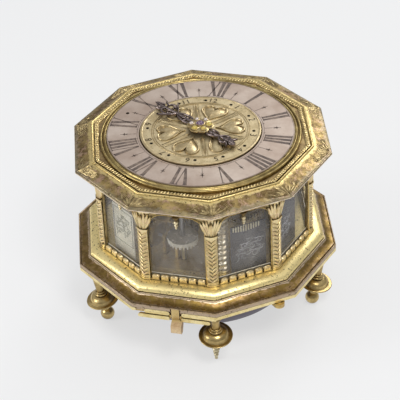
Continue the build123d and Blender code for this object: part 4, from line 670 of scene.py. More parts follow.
arch_beads = together([
    arch_bead(0.25, ARCH_RADIUS, 0.1, 0.5, 8), arch_bead(1.35, ARCH_RADIUS + 1.0, 0.0, 0.28, 6),
])
bright_gilt = gilt(
    "gilt_bright_edges", (0.82, 0.63, 0.27), (0.56, 0.40, 0.16), BROWN_DIRT_AND_SHADE, patch=200, gloss=0.24
)
piece("window_arch_beads", on_all_sides(arch_beads), bright_gilt)
sill_strip = block(
    (-WINDOW_HALF, -GLASS_FRONT - 0.75, SILL_STRIP_LOW), (WINDOW_HALF, -GLASS_FRONT - 0.05, SILL_STRIP_TOP)
)
sill_edge = rod([(x * WINDOW_HALF, -GLASS_FRONT - 0.55, SILL_STRIP_TOP + 0.25) for x in (-1, 0, 1)], 0.32)
strip_brass = gilt(
    "glass_strip_brass", (0.60, 0.56, 0.45), (0.44, 0.40, 0.31), (0.16, 0.13, 0.10), patch=120, gloss=0.5,
    reach=0.5
)
edge_brass = gilt(
    "glass_strip_edge", (1.0, 0.95, 0.82), (0.82, 0.75, 0.60), (0.2, 0.17, 0.13), patch=160, gloss=0.5,
    reach=0.5
)
piece("glass_strips", on_all_sides(sill_strip), strip_brass)
piece("glass_strip_edges", on_all_sides(sill_edge), edge_brass)

# Window glass: ten old panes, slightly grey and wavy, with a film of dust.
# Each stands in the case behind its panel.
glass, tree = new_material("old_window_glass")
film = noise(tree, 55.0, 5.0, 0.7)
ripple = node(tree, "Bump", Strength=0.25, Distance=0.6 * MM, Height=noise(tree, 38.0, 1.0))
dress(
    tree, Base_Color=mix(tree, film, (0.30, 0.27, 0.24), (0.52, 0.50, 0.46)), Roughness=0.06, IOR=1.5,
    Alpha=span(tree, film, 0.35, 0.7, 0.12, 0.30), Normal=ripple,
)
finish_nodes(glass, "window_glass")

# Engraved screens: thin plates on the bottom plate's edge, between the movement and the glass of six faces.
# Four are blued, with scrolls cut through the blue to the bare metal, and one of them has a fret of bars at
# its head; two are left pale, with grey scrolls.
SCREEN_DEPTH, SCREEN_HALF, SCREEN_TOP = 62.9, 0.25, 99.0
LINE_DEPTH = SCREEN_DEPTH + 0.35
SCROLL_PLACES = (
    (0.16, 0.22, 0.15, 1), (0.40, 0.36, 0.20, -1), (0.70, 0.24, 0.17, 1), (0.88, 0.44, 0.11, -1),
    (0.60, 0.60, 0.15, 1), (0.27, 0.66, 0.12, 1), (0.82, 0.78, 0.13, -1), (0.48, 0.86, 0.10, 1),
    (0.12, 0.50, 0.08, -1),
)


def screen_curl(x, z, radius, start, sweep, width, steps=14):
    """A wire-thin scroll on a screen under VI, winding inward."""
    points = []
    for k in range(steps + 1):
        turn = radians(start + sweep * k / steps)
        reach = radius * (1 - 0.7 * k / steps)
        points.append((x + reach * cos(turn), -LINE_DEPTH, z + reach * sin(turn)))
    return rod(points, width, 5)


def scroll_field(x0, x1, z0, z1, width):
    """Foliage scrolls of uneven size over a field, each growing from its neighbour by a curved stem."""
    field = []
    wide = x1 - x0
    before = (x0, z0)
    for across, up, share, hand in SCROLL_PLACES:
        x, z = x0 + across * wide, z0 + up * (z1 - z0)
        size = share * wide
        field.append(screen_curl(x, z, size, 90 - 60 * hand, 350 * hand, width * 1.25, 18))
        stem = []
        for u in (j / 6 for j in range(7)):
            along = before[0] + (x + hand * size * 0.8 - before[0]) * u
            sway = hand * 0.09 * wide * sin(pi * u)
            stem.append((along, -LINE_DEPTH, before[1] + (z - before[1]) * u + sway))
        field.append(rod(stem, width * 0.8, 5))
        for degrees in (40, 140, 240):
            spot = on_circle(1.25 * size, degrees)
            field.append(screen_curl(x + spot.x, z + spot.y, 0.3 * size, 0, 300 * hand, width * 0.7, 8))
        before = (x, z)
    return together(field)


def screen_plate(x0, x1, k):
    low, high = (x0, -SCREEN_DEPTH - SCREEN_HALF, plate_top), (x1, -SCREEN_DEPTH + SCREEN_HALF, SCREEN_TOP)
    return on_face(block(low, high), k)


screen_blue = gilt(
    "blued_screen", (0.16, 0.17, 0.20), (0.11, 0.11, 0.13), (0.05, 0.05, 0.05), patch=120, gloss=0.5,
    reach=0.4
)
screen_pale = gilt(
    "pale_screen", (1.0, 0.97, 0.82), (0.95, 0.90, 0.70), (0.7, 0.65, 0.5), patch=90, gloss=0.7, reach=0.3,
    metal=0.0
)
dress(screen_pale.node_tree, Specular_IOR_Level=0.2)
screen_lines = gilt(
    "screen_scroll_lines", (0.72, 0.73, 0.79), (0.40, 0.42, 0.47), (0.3, 0.3, 0.3), patch=200, gloss=0.55,
    reach=0.3, metal=0.0,
)
screen_shade = gilt(
    "screen_grey_lines", (0.80, 0.80, 0.66), (0.62, 0.62, 0.50), (0.2, 0.2, 0.18), patch=200, gloss=0.6,
    reach=0.3
)
fret_gilt = gilt(
    "pale_screen_fret", (1.0, 0.95, 0.78), (0.84, 0.76, 0.56), BROWN_DIRT_AND_SHADE, patch=200, gloss=0.4, reach=0.3
)
blue_plates, lines, pale_plates, grey_lines = [], [], [], []
for k, plate, field in (
    (1, (-7.0, 17.5), (-3.5, 16.0, 70.0, 88.0)), (2, (-10.0, 12.0), (-7.0, 5.5, 68.0, 88.0)),
    (4, (-14.0, 14.0), (-12.0, 12.0, 70.5, 89.0)), (6, (-14.0, 14.0), (-12.0, 12.0, 70.5, 89.0)),
):
    blue_plates.append(screen_plate(*plate, k))
    lines.append(on_face(scroll_field(*field, 0.17), k))
for k, plate, (x0, x1) in ((-1, (-16.8, 4.6), (-15.5, 3.3)), (5, (-10.0, 10.0), (-8.7, 8.7))):
    pale_plates.append(screen_plate(*plate, k))
    grey_lines.append(on_face(scroll_field(x0 + 1.7, x1 - 1.7, 74.0, 94.0, 0.30), k))
    border = [(x, -SCREEN_DEPTH - 0.3, z) for x, z in ((x0, 71.0), (x1, 71.0), (x1, 97.0), (x0, 97.0))]
    grey_lines.append(on_face(rod(border, 0.35, 5, True), k))
FRET_BARS, FRET_PITCH, FRET_X, FRET_FOOT, FRET_TOP = 11, 1.75, 3.6, 94.2, 98.9
fret = []
for step in (j - (FRET_BARS - 1) / 2 for j in range(FRET_BARS)):
    foot = FRET_FOOT + 0.045 * step ** 2
    levels = (foot, foot + 2.0, FRET_TOP)
    fret.append(rod([(FRET_X + FRET_PITCH * step, -SCREEN_DEPTH - 0.5, z) for z in levels], 0.52, 6))
for name, shells, finish in (
    ("blued_screens", blue_plates, screen_blue), ("screen_scrolls", lines, screen_lines),
    ("screen_fret", [on_face(together(fret), 1)], fret_gilt), ("pale_screens", pale_plates, screen_pale),
    ("pale_screen_lines", grey_lines, screen_shade),
):
    piece(name, together(shells), finish)

# Corner pilasters: cast strips bent over each corner, with a stepped foot, a shaft of chevron leaves,
# a ringed collar and a capital of spreading leaves. They are pinned over the joints of the panels.
WALL_RADIUS = 73.0
FOOT_LEVEL, COLLAR_LEVEL, CAPITAL_TOP = 61.8, 100.8, 116.2
CHEVRON_PITCH = 3.05
CHEVRON = (
    (-3.35, 0.5, 0.35), (-2.5, 0.72, 0.62), (-1.3, 0.85, 0.78), (0.0, 0.75, 0.62), (1.3, 0.85, 0.78),
    (2.5, 0.72, 0.62), (3.35, 0.5, 0.35),
)


def on_wing(s, z, t):
    """A point of the corner on +X: s along the wing, negative on the other wing, z up, t outward."""
    run = abs(s) - t * tan(HALF_ANGLE)
    x = WALL_RADIUS - run * sin(HALF_ANGLE) + t * cos(HALF_ANGLE)
    y = (1 if s >= 0 else -1) * (run * cos(HALF_ANGLE) + t * sin(HALF_ANGLE))
    return Vector((x, y, z))


def bent_bar(wing, z0, z1, t1, chamfer=0.0):
    """A bar bent over the corner, from the wall outward to t1."""
    rows = [(wing, z0, 0.0), (wing, z0, t1 - chamfer), (wing - chamfer, z0, t1), (0, z0, t1)]
    low_ring = [on_wing(s, z, t) for s, z, t in rows] + [on_wing(-s, z, t) for s, z, t in rows[-2::-1]]
    return prism(low_ring, [Vector((p.x, p.y, z1)) for p in low_ring])


def leaf(root, tip, width, lift, flare, rows=10, across=7, rib=0.35):
    """A hollowed leaf with a raised edge and a middle rib, in wing coordinates (s, z)."""
    verts = []
    run, rise = tip[0] - root[0], tip[1] - root[1]
    length = hypot(run, rise)
    for j in range(rows + 1):
        u = j / rows
        half = width / 2 * sin(pi * min(0.12 + 0.88 * u, 1.0) ** 1.15) ** 0.75 if u < 1 else 0.05
        for k in range(across + 1):
            v = 2 * k / across - 1
            edge = lift * (0.35 + 0.65 * abs(v) ** 1.6 + rib * max(0.0, 1 - abs(v) * 4))
            out = 0.55 + (0.0 if k in (0, across) else edge) + flare * u * u
            s = root[0] + run * u + v * half * rise / length
            verts.append(on_wing(s, root[1] + rise * u - v * half * run / length, out))
    return verts, quads(rows + 1, across + 1, wrap=False)


pilaster = [bent_bar(*bar) for bar in (
    (4.35, FOOT_LEVEL, FOOT_LEVEL + 1.4, 1.7, 0.2), (4.05, FOOT_LEVEL + 1.4, FOOT_LEVEL + 2.6, 1.35, 0.3),
    (3.9, FOOT_LEVEL + 2.6, FOOT_LEVEL + 3.5, 1.15, 0.2), (3.75, FOOT_LEVEL, 121.5, 0.55),
    (4.1, COLLAR_LEVEL - 0.2, COLLAR_LEVEL + 0.5, 1.55, 0.25),
    (4.3, COLLAR_LEVEL + 0.6, COLLAR_LEVEL + 1.4, 1.75, 0.25),
    (6.6, CAPITAL_TOP - 0.3, CAPITAL_TOP + 1.0, 2.3, 0.3),
)]
for side in (1, -1):
    pilaster.append(rod([on_wing(side * 3.6, z, 0.6) for z in (FOOT_LEVEL + 3, 80, COLLAR_LEVEL)], 0.28, 6))
level = FOOT_LEVEL + 3.9
while level + 2.2 < COLLAR_LEVEL:
    chevron = [on_wing(s, level + abs(s) * 0.72, t) for s, t, thick in CHEVRON]
    pilaster.append(rod(chevron, [thick for s, t, thick in CHEVRON]))
    level += CHEVRON_PITCH
pilaster.append(leaf((0.0, 102.4), (0.0, 113.6), 3.6, 1.1, 0.8, across=8))
for root_s, tip_s, tip_z, width in ((1.6, 3.1, 115.4, 2.6), (2.2, 5.4, 115.0, 2.6), (2.7, 7.4, 113.4, 2.5)):
    pilaster += [leaf((side * root_s, 102.4), (side * tip_s, tip_z), width, 0.9, 0.9) for side in (1, -1)]
pilaster_gilt = gilt(
    "gilt_pilasters", (0.94, 0.79, 0.44), (0.72, 0.55, 0.27), (0.09, 0.06, 0.022), patch=230, wear=0.44,
    gloss=0.36, dent=0.2, reach=1.5, blush=(0.86, 0.64, 0.42),
)
pilasters = on_all_sides(together(pilaster))
piece("corner_pilaster_castings", pilasters, pilaster_gilt, replaces=["corner_pilasters"], crease=40)

# Cresting: a pierced strip of six round-topped merlons along the foot of each window,
# with a drilled hole between each two. It is sawn from sheet, domed with a punch, and soldered on.
MERLONS = 6
CREST_HALF = 18.2
MERLON_PITCH = 2 * CREST_HALF / MERLONS
MERLON_WIDTH, MERLON_LOW, MERLON_HIGH = 5.5, 0.9, 4.6


def merlon(middle, grid=10):
    verts = []
    for j in range(grid + 1):
        for k in range(grid + 1):
            u, v = 2 * k / grid - 1, j / grid
            narrow = (1 - min(0.96, max(0.0, (v - 0.45) / 0.55)) ** 3) ** 0.5
            dome = 0.45 * (1 - u ** 4) * (1 - (2 * v - 1) ** 4) + 0.22 * cos(3 * pi * u) * sin(pi * v)
            proud = 0.0 if j in (0, grid) or k in (0, grid) else 0.80 + dome
            level = FOOT_LEVEL + MERLON_LOW + (MERLON_HIGH - MERLON_LOW) * v
            verts.append(Vector((middle + u * MERLON_WIDTH / 2 * narrow, -PANEL_APOTHEM - proud, level)))
    return verts, quads(grid + 1, grid + 1, wrap=False)


def dot(radius, high, segments):
    """A small flat disc that stands for a drilled hole."""
    return turned([(0, 0), (radius, 0), (radius, high), (0, high)], segments)


crest = [
    block((-CREST_HALF, -PANEL_APOTHEM - 0.9, FOOT_LEVEL), (CREST_HALF, -PANEL_APOTHEM, FOOT_LEVEL + 1.3))
]
crest += [merlon(-CREST_HALF + MERLON_PITCH * (k + 0.5)) for k in range(MERLONS)]
crest_hole = placed(dot(0.62, 0.12, 12), Matrix.Rotation(pi / 2, 4, "X"))
holes = [
    moved(crest_hole, (-CREST_HALF + MERLON_PITCH * k, -PANEL_APOTHEM - 0.86, FOOT_LEVEL + 1.0))
    for k in range(1, MERLONS)
]
crest_gilt = gilt(
    "gilt_cresting", (0.95, 0.80, 0.48), (0.70, 0.55, 0.30), (0.05, 0.033, 0.015), patch=260, dent=0.2,
    reach=1.3
)
piece("cresting", on_all_sides(together(crest)), crest_gilt, replaces=["cresting_strips"], crease=40)
black_hole, tree = new_material("hole_shadow")
hole_tone = mix(tree, node(tree, "TexNoise", Scale=900.0), (0.008, 0.006, 0.005), (0.03, 0.022, 0.015))
dress(tree, Base_Color=hole_tone, Roughness=0.9, Specular_IOR_Level=0.05)
piece("cresting_holes", on_all_sides(together(holes)), black_hole)

# Pendants: a dark leaf and three gilt balls hang from the crown of each arch.
# Each is turned on one brass spindle and riveted through the panel.
drop_place = (0, -PANEL_APOTHEM + 0.8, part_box("window_pendants")[1].z / MM)
dark_leaf = turned([(0, 0.2), (2.9, 0.1), (2.7, -0.7), (1.9, -1.9), (1.2, -3.2), (0.6, -4.0), (0, -4.0)], 20)
drop_balls = turned(
    [(0, -3.7), (0.6, -3.9)] + arc((0, -5.2), 1.5, 65, -55) + arc((0, -7.7), 1.25, 55, -55)
    + arc((0, -9.6), 0.8, 50, -90), 24,
)
drop_leaf_brown = gilt(
    "brown_pendant_leaf", (0.30, 0.22, 0.10), (0.16, 0.11, 0.05), (0.05, 0.03, 0.02), patch=300
)
drop_gilt = gilt(
    "pale_pendant_balls", (1.0, 0.90, 0.62), (0.78, 0.64, 0.38), BROWN_DIRT_AND_SHADE, patch=300, gloss=0.3
)
piece("pendant_leaves", on_all_sides(moved(dark_leaf, drop_place)), drop_leaf_brown)
piece("pendant_balls", on_all_sides(moved(drop_balls, drop_place)), drop_gilt, replaces=["window_pendants"])

# Cornice: the top moulding that carries the dial, with a broad sloping face between its lip and its rim.
# Leaves are chased at each corner; the gilding there is rubbed to a dull tan.
cornice_section = (
    [(68.0, 121.5), (76.6, 121.5), (77.2, 121.9)] + arc((77.0, 127.2), 5.0, 292, 322, 6) + [(83.1, 124.3)]
    + arc((84.4, 124.8), 0.7, 200, 270, 4) + [(86.2, 124.9)] + arc((86.1, 125.7), 0.6, -70, 70, 7)
    + [(85.6, 126.5), (85.4, 126.75), (84.2, 126.95), (82.4, 127.25), (80.4, 127.8), (78.6, 128.5)]
    + [(77.0, 129.25), (75.6, 129.75), (74.9, 129.8)] + arc((74.1, 130.0), 0.75, 0, 150, 8)
    + [(73.3, 130.2), (72.7, 129.9), (72.7, 128.0), (68.0, 128.0)]
)
cornice_gilt = gilt(
    "gilt_cornice", (0.56, 0.41, 0.16), (0.18, 0.12, 0.05), (0.07, 0.045, 0.02), patch=85, wear=0.51,
    dent=0.42, blush=(0.56, 0.37, 0.25), pits=0.8,
    bands=((127.2, 126.8, (0.40, 0.36, 0.25), 0.45), (129.0, 129.4, (0.86, 0.68, 0.30), 0.8)),
)
# Painted reflection: the lip bead is coloured pale pinkish gold to stand for the pale floor reflected along
# it.
lip_painted_reflection = gilt(
    "lip_bead_painted_reflection", (0.98, 0.84, 0.68), (0.72, 0.58, 0.42), (0.2, 0.14, 0.08), patch=120, wear=0.46, gloss=0.34
)
piece("cornice_moulding", mitred(cornice_section), cornice_gilt, replaces=["cornice"], crease=26)
piece("cornice_rim_bead", mitred(arc((74.05, 130.15), 0.62, 0, 360, 8)[:-1]), bright_gilt)
piece("cornice_lip_bead", mitred(arc((86.0, 125.45), 0.75, 0, 360, 10)[:-1]), lip_painted_reflection)

SLOPE_LOW, SLOPE_HIGH, SLOPE_HOLLOW = (85.2, 126.8), (75.2, 129.8), 0.5


def on_slope(u, v, lift=0.0):
    """A point lift above the cornice slope at the corner on +X: u from lip to rim, v sideways."""
    radius = SLOPE_LOW[0] + (SLOPE_HIGH[0] - SLOPE_LOW[0]) * u
    level = SLOPE_LOW[1] + (SLOPE_HIGH[1] - SLOPE_LOW[1]) * u - SLOPE_HOLLOW * sin(pi * u) + lift
    return Vector((radius - abs(v) * sin(HALF_ANGLE), v * cos(HALF_ANGLE), level))


def chased_leaf(root, tip, width, rise, rows=6, across=4):
    """A low leaf on the slope, from root to tip in (u, v)."""
    verts = []
    run, sweep = tip[0] - root[0], tip[1] - root[1]
    for j in range(rows + 1):
        u = j / rows
        half = width / 2 * sin(pi * min(0.1 + 0.9 * u, 1.0)) ** 0.8
        for k in range(across + 1):
            v = 2 * k / across - 1
            s = root[0] + run * u - v * half * sweep / max(hypot(run, sweep), 0.01) / 10
            w = root[1] + sweep * u + v * half * (1 if abs(sweep) < 6 else 0.6)
            lift = -0.15 if k in (0, across) or j in (0, rows) else rise * (1 - v * v) + 0.1
            verts.append(on_slope(s, w, lift) + Vector((0.15 * lift, 0, 0)))
    return verts, quads(rows + 1, across + 1, wrap=False)


spray = [chased_leaf((0.10, 0.0), (0.86, 0.0), 2.4, 0.30)]
for side in (1, -1):
    for root_u, root_v, tip_u, tip_v, width in (
        (0.16, 0.8, 0.74, 3.6, 1.9), (0.14, 1.6, 0.50, 6.4, 1.8), (0.10, 2.4, 0.24, 8.4, 1.5),
        (0.62, 1.4, 0.92, 5.4, 1.3), (0.20, 7.6, 0.46, 11.4, 1.3),
    ):
        spray.append(chased_leaf((root_u, side * root_v), (tip_u, side * tip_v), width, 0.28))
for side in (1, -1):
    for k in range(9):
        barb = []
        for share in (j / 5 for j in range(6)):
            u = 0.06 + 0.088 * k + 0.16 * share ** 1.5 * (1 - 0.09 * k)
            barb.append(on_slope(u, side * (0.5 + (13.5 - 1.15 * k) * share), 0.12))
        spray.append(rod(barb, [0.34 * (1 - 0.75 * j / 5) for j in range(6)], 5))
    for k in range(5):
        start = on_slope(0.20 + 0.09 * k, side * (10.5 - 0.8 * k), 0.10)
        end = on_slope(0.36 + 0.09 * k, side * (14.5 - 0.9 * k), 0.05)
        spray.append(rod([start, (start + end) / 2, end], [0.18, 0.30, 0.08], 5))
chased_gilt = gilt(
    "gilt_chasing", (0.66, 0.52, 0.26), (0.34, 0.25, 0.12), (0.04, 0.027, 0.012), patch=240, gloss=0.36,
    reach=1.5
)
piece("cornice_chased_leaves", on_all_sides(together(spray)), chased_gilt)

# Dial plate: the ten-sided brass sheet under the dial rings, seated in the cornice.
# Dark strips of it show between the bezel and the beads.
plate_brown = gilt(
    "dark_dial_plate", (0.50, 0.37, 0.17), (0.28, 0.19, 0.09), (0.07, 0.045, 0.02), patch=180, gloss=0.42
)
finish_nodes(plate_brown, "dial_plate")

# Beaded band: a row of slanted gadroons punched along the edge of the dial plate on all ten sides.
# It is a separate drawn strip, mitred at the corners, with beads standing across it.
BAND_OUTER, BAND_INNER = 72.4, 69.7
GADROONS = 21
BEAD_SLANT, BEAD_LONG, BEAD_WIDE, BEAD_HIGH = 0.42, 1.3, 0.8, 0.95
DIAL_TOP_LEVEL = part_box("beaded_band")[0].z / MM
band_middle = (BAND_OUTER + BAND_INNER) / 2 * cos(HALF_ANGLE)
band_section = [
    (BAND_INNER, 0), (BAND_OUTER, 0), (BAND_OUTER, 0.5), (BAND_OUTER - 0.25, 0.62),
    (BAND_INNER + 0.25, 0.62),
    (BAND_INNER, 0.5),
]


def fan(first, count, top):
    """Triangles from a ring of points up to one point."""
    return [(first + k, first + (k + 1) % count, top) for k in range(count)]


def bead_bump(middle, rings=5, around=12):
    """A domed oval standing on the band under VI, at middle along the side."""
    verts = []
    for j in range(rings):
        size, rise = cos(0.5 * pi * j / rings), sin(0.5 * pi * j / rings)
        for k in range(around):
            turn = 2 * pi * k / around
            a, b = BEAD_LONG * size * cos(turn), BEAD_WIDE * size * sin(turn)
            x = middle + b * cos(BEAD_SLANT) + a * sin(BEAD_SLANT)
            y = -band_middle + a * cos(BEAD_SLANT) - b * sin(BEAD_SLANT)
            verts.append(Vector((x, y, 0.5 + BEAD_HIGH * rise)))
    verts.append(Vector((middle, -band_middle, 0.5 + BEAD_HIGH)))
    return verts, quads(rings, around) + fan((rings - 1) * around, around, rings * around)


side_length = 2 * band_middle * tan(HALF_ANGLE)
gadroons = [bead_bump(side_length * ((k + 0.5) / GADROONS - 0.5)) for k in range(GADROONS)]
band = moved(together([mitred(band_section), on_all_sides(together(gadroons))]), (0, 0, DIAL_TOP_LEVEL))
band_gilt = gilt(
    "gilt_beads", (0.90, 0.73, 0.37), (0.56, 0.42, 0.19), (0.11, 0.075, 0.03), patch=260, gloss=0.30,
    reach=1.2
)
piece("beaded_strip", band, band_gilt, replaces=["beaded_band"], crease=50)

# Bezel: a turned double ring around the dial, with a bright inner bead and a narrow groove.
# It is gilt, and screwed to the plate from below.
BEZEL_OUTER, BEZEL_INNER = 65.7, 61.1
bezel_section = (
    [(BEZEL_INNER, 0), (BEZEL_OUTER, 0), (BEZEL_OUTER, 1.0)]
    + arc((BEZEL_OUTER - 0.8, 1.3), 0.8, -10, 160, 8)
    + [(BEZEL_OUTER - 1.8, 1.25), (BEZEL_OUTER - 2.3, 1.5)]
    + arc((BEZEL_INNER + 1.35, 1.75), 0.7, 20, 150, 8)
    + [(BEZEL_INNER + 0.55, 1.8)] + arc((BEZEL_INNER + 0.35, 1.95), 0.33, 60, 180, 6)
)
bezel = moved(turned(bezel_section, 160), (0, 0, DIAL_TOP_LEVEL))
bezel_gilt = gilt(
    "gilt_bezel", (0.54, 0.42, 0.17), (0.30, 0.215, 0.085), (0.08, 0.055, 0.025), patch=150, gloss=0.33,
    reach=1.4
)
piece("turned_bezel", bezel, bezel_gilt, replaces=["dial_bezel"], crease=45)

# Chapter ring: a flat ring of silvered brass, warm with age, engraved with the hours.
# The numerals, circles and half-hour marks are cut with a graver and filled with dark wax.
RING_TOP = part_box("chapter_ring")[1].z / MM
silvering, tree = new_material("aged_silvering")
speck = noise(tree, 420.0, 4.0, 0.7)
clouds = span(tree, noise(tree, 38.0, 5.0, 0.6), 0.35, 0.68)
tone = mix(tree, clouds, (0.46, 0.355, 0.285), (0.66, 0.56, 0.475))
dress(
    tree, Base_Color=mix(tree, span(tree, speck, 0.60, 0.74, 0.0, 0.5), tone, (0.40, 0.28, 0.18)),
    Metallic=0.85, Roughness=span(tree, speck, 0.0, 1.0, 0.42, 0.58),
    Normal=node(tree, "Bump", Strength=0.10, Distance=0.2 * MM, Height=speck),
)
finish_nodes(silvering, "chapter_ring")

wax, tree = new_material("engraving_wax")
wax_share = span(tree, noise(tree, 260.0, 4.0, 0.7), 0.42, 0.66)
dress(tree, Base_Color=mix(tree, wax_share, (0.085, 0.060, 0.048), (0.22, 0.165, 0.125)), Roughness=0.55)
CUT_RISE, CUT_SINK = 0.05, 0.02
NUMERAL_FOOT, NUMERAL_HEAD, NUMERAL_MIDDLE = 42.4, 60.2, 51.0
HEIGHT = NUMERAL_HEAD - NUMERAL_FOOT
BAR, HAIR, THIN = 2.1, 0.5, 0.7
HALF_HOUR_STROKES = (
    ((0, 41.9), (0, 48.6), 0.40), ((-1.5, 49.6), (1.5, 49.6), 0.38), ((0, 48.4), (0, 52.2), 0.38),
    ((-0.9, 47.6), (0, 48.8), 0.3), ((0.9, 47.6), (0, 48.8), 0.3),
)


def flat_cut(outline, base):
    """A thin slab with the given outline, standing just proud of the metal at base."""
    return prism(
        [Vector((x, y, base - CUT_SINK)) for x, y in outline],
        [Vector((x, y, base + CUT_RISE)) for x, y in outline]
    )


def stroke(start, end, width_start, width_end):
    """A straight engraved stroke on the chapter ring."""
    dx, dy = end[0] - start[0], end[1] - start[1]
    nx, ny = -dy / hypot(dx, dy) / 2, dx / hypot(dx, dy) / 2
    corners = ((start, -width_start), (end, -width_end), (end, width_end), (start, width_start))
    return flat_cut([(point[0] + nx * wide, point[1] + ny * wide) for point, wide in corners], RING_TOP)


def serifs(level, *spans):
    return [((left, level), (right, level), HAIR, HAIR) for left, right in spans]


LETTERS = {
    "I": (3.1, [
        ((0, 0.1), (0, HEIGHT - 0.1), BAR, BAR),
    ] + serifs(0.2, (-1.5, 1.5)) + serifs(HEIGHT - 0.2, (-1.5, 1.5))),
    "V": (6.6, [
        ((-2.3, HEIGHT - 0.1), (0.5, 0.1), BAR, BAR * 0.85), ((2.6, HEIGHT - 0.1), (0.6, 0.1), THIN, THIN),
    ] + serifs(HEIGHT - 0.2, (-3.3, -1.0), (1.7, 3.3))),
    "X": (6.8, [
        ((-2.2, HEIGHT - 0.1), (2.2, 0.1), BAR, BAR), ((2.4, HEIGHT - 0.1), (-2.4, 0.1), THIN, THIN),
    ] + serifs(HEIGHT - 0.2, (-3.3, -1.0), (1.5, 3.3)) + serifs(0.2, (-3.3, -1.5), (1.0, 3.3))),
}


def splayed(x, y):
    """Bends a letter's point to the ring, so that its strokes spread towards the rim."""
    turn = x / NUMERAL_MIDDLE
    return (y + NUMERAL_FOOT) * sin(turn), (y + NUMERAL_FOOT) * cos(turn)


def circle_line(radius, width, base):
    edges = (radius - width / 2, radius + width / 2)
    low = [(edge, base - CUT_SINK) for edge in edges]
    high = [(edge, base + CUT_RISE) for edge in edges[::-1]]
    return turned(low + high, 180)


engraving = []
for hour, numeral in enumerate(("XII", "I", "II", "III", "IIII", "V", "VI", "VII", "VIII", "IX", "X", "XI")):
    at = -sum(LETTERS[kind][0] for kind in numeral) / 2
    hour_cuts = []
    for kind in numeral:
        width, strokes = LETTERS[kind]
        for (x0, y0), (x1, y1), start_wide, end_wide in strokes:
            if y0 != y1:
                start_wide *= (y0 + NUMERAL_FOOT) / NUMERAL_MIDDLE
                end_wide *= (y1 + NUMERAL_FOOT) / NUMERAL_MIDDLE
            middle = at + width / 2
            hour_cuts.append(
                stroke(splayed(middle + x0, y0), splayed(middle + x1, y1), start_wide, end_wide)
            )
        at += width
    half_hour_cuts = [stroke(start, end, wide, wide) for start, end, wide in HALF_HOUR_STROKES]
    half_hour_cuts.append(flat_cut([(0, 50.9), (0.85, 49.6), (0, 48.3), (-0.85, 49.6)], RING_TOP))
    engraving.append(moved(together(hour_cuts), turn=-30 * hour))
    engraving.append(moved(together(half_hour_cuts), turn=-30 * hour - 15))
    for quarter in (7.5, 22.5):
        engraving.append(moved(stroke((0, 40.9), (0, 42.3), 0.3, 0.3), turn=-30 * hour - quarter))
engraving += [circle_line(60.7, 0.22, RING_TOP), circle_line(41.4, 0.28, RING_TOP)]
piece("chapter_engraving", together(engraving), wax, crease=30)
ring_hole = moved(dot(1.15, 0.06, 20), (-52.6, 11.6, RING_TOP))
piece("chapter_ring_hole", ring_hole, black_hole)

# Alarm disc: a gilt disc that turns by hand inside the chapter ring, with a hole for a pin at each hour.
# Its star of six hearts and six rays is chased in relief, inside engraved numerals.
DISC_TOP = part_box("alarm_disc")[1].z / MM
DISC_FIELD = DISC_TOP - 0.3
HEART_TURN, HEART_TIP, HEART_LENGTH, HEART_WIDTH, HEART_MIDDLE = 20, 10.6, 17.6, 17.0, 0.58
HEART_ROWS = (
    (1.10, 0.0), (1.06, 0.85), (1.01, 1.0), (0.95, 0.85), (0.90, 0.15), (0.80, 0.08), (0.72, 0.45),
    (0.56, 0.80), (0.36, 1.0), (0.15, 1.05),
)
HEART_POINTS = 28
RAY_TURN, RAY_HALF = 50, 1.7
RAY_STATIONS = ((8.6, 0.25), (10.6, 0.8), (13.6, 1.0), (24.2, 0.55), (30.2, 0.02))
disc_gilt = gilt(
    "gilt_alarm_disc", (0.76, 0.63, 0.385), (0.54, 0.43, 0.24), (0.14, 0.095, 0.045), patch=95, wear=0.46,
    gloss=0.42, dent=0.2, reach=2.4,
)
finish_nodes(disc_gilt, "alarm_disc")
relief_gilt = gilt(
    "gilt_star", (0.78, 0.64, 0.37), (0.50, 0.38, 0.20), (0.07, 0.048, 0.02), patch=200, gloss=0.33,
    reach=2.2
)


def heart():
    """A domed heart with a raised rim, drawn on +X and pointing at the hub."""
    verts = []
    for size, rise in HEART_ROWS:
        for k in range(HEART_POINTS):
            turn = 2 * pi * k / HEART_POINTS
            across = 16 * sin(turn) ** 3 / 32
            along = (13 * cos(turn) - 5 * cos(2 * turn) - 2 * cos(3 * turn) - cos(4 * turn) + 17) / 29
            r = HEART_TIP + HEART_LENGTH * (HEART_MIDDLE + (along - HEART_MIDDLE) * size)
            verts.append(Vector((r, HEART_WIDTH * across * size, rise - 0.02)))
    last = (len(HEART_ROWS) - 1) * HEART_POINTS
    return verts, quads(len(HEART_ROWS), HEART_POINTS) + [tuple(range(last, last + HEART_POINTS))]


def ray():
    """A long ray on +X with one ridge, widest near its root."""
    verts = []
    for r, share in RAY_STATIONS:
        for side, rise in ((-1, -0.02), (0, 0.35 + 0.65 * share), (1, -0.02)):
            verts.append(Vector((r, side * RAY_HALF * share, rise)))
    return verts, quads(len(RAY_STATIONS), 3, wrap=False)


def raised_circle(radius, width, high):
    low = [(radius - width / 2, -CUT_SINK), (radius + width / 2, -CUT_SINK)]
    return turned(low + [(radius + width / 4, high), (radius - width / 4, high)], 120)


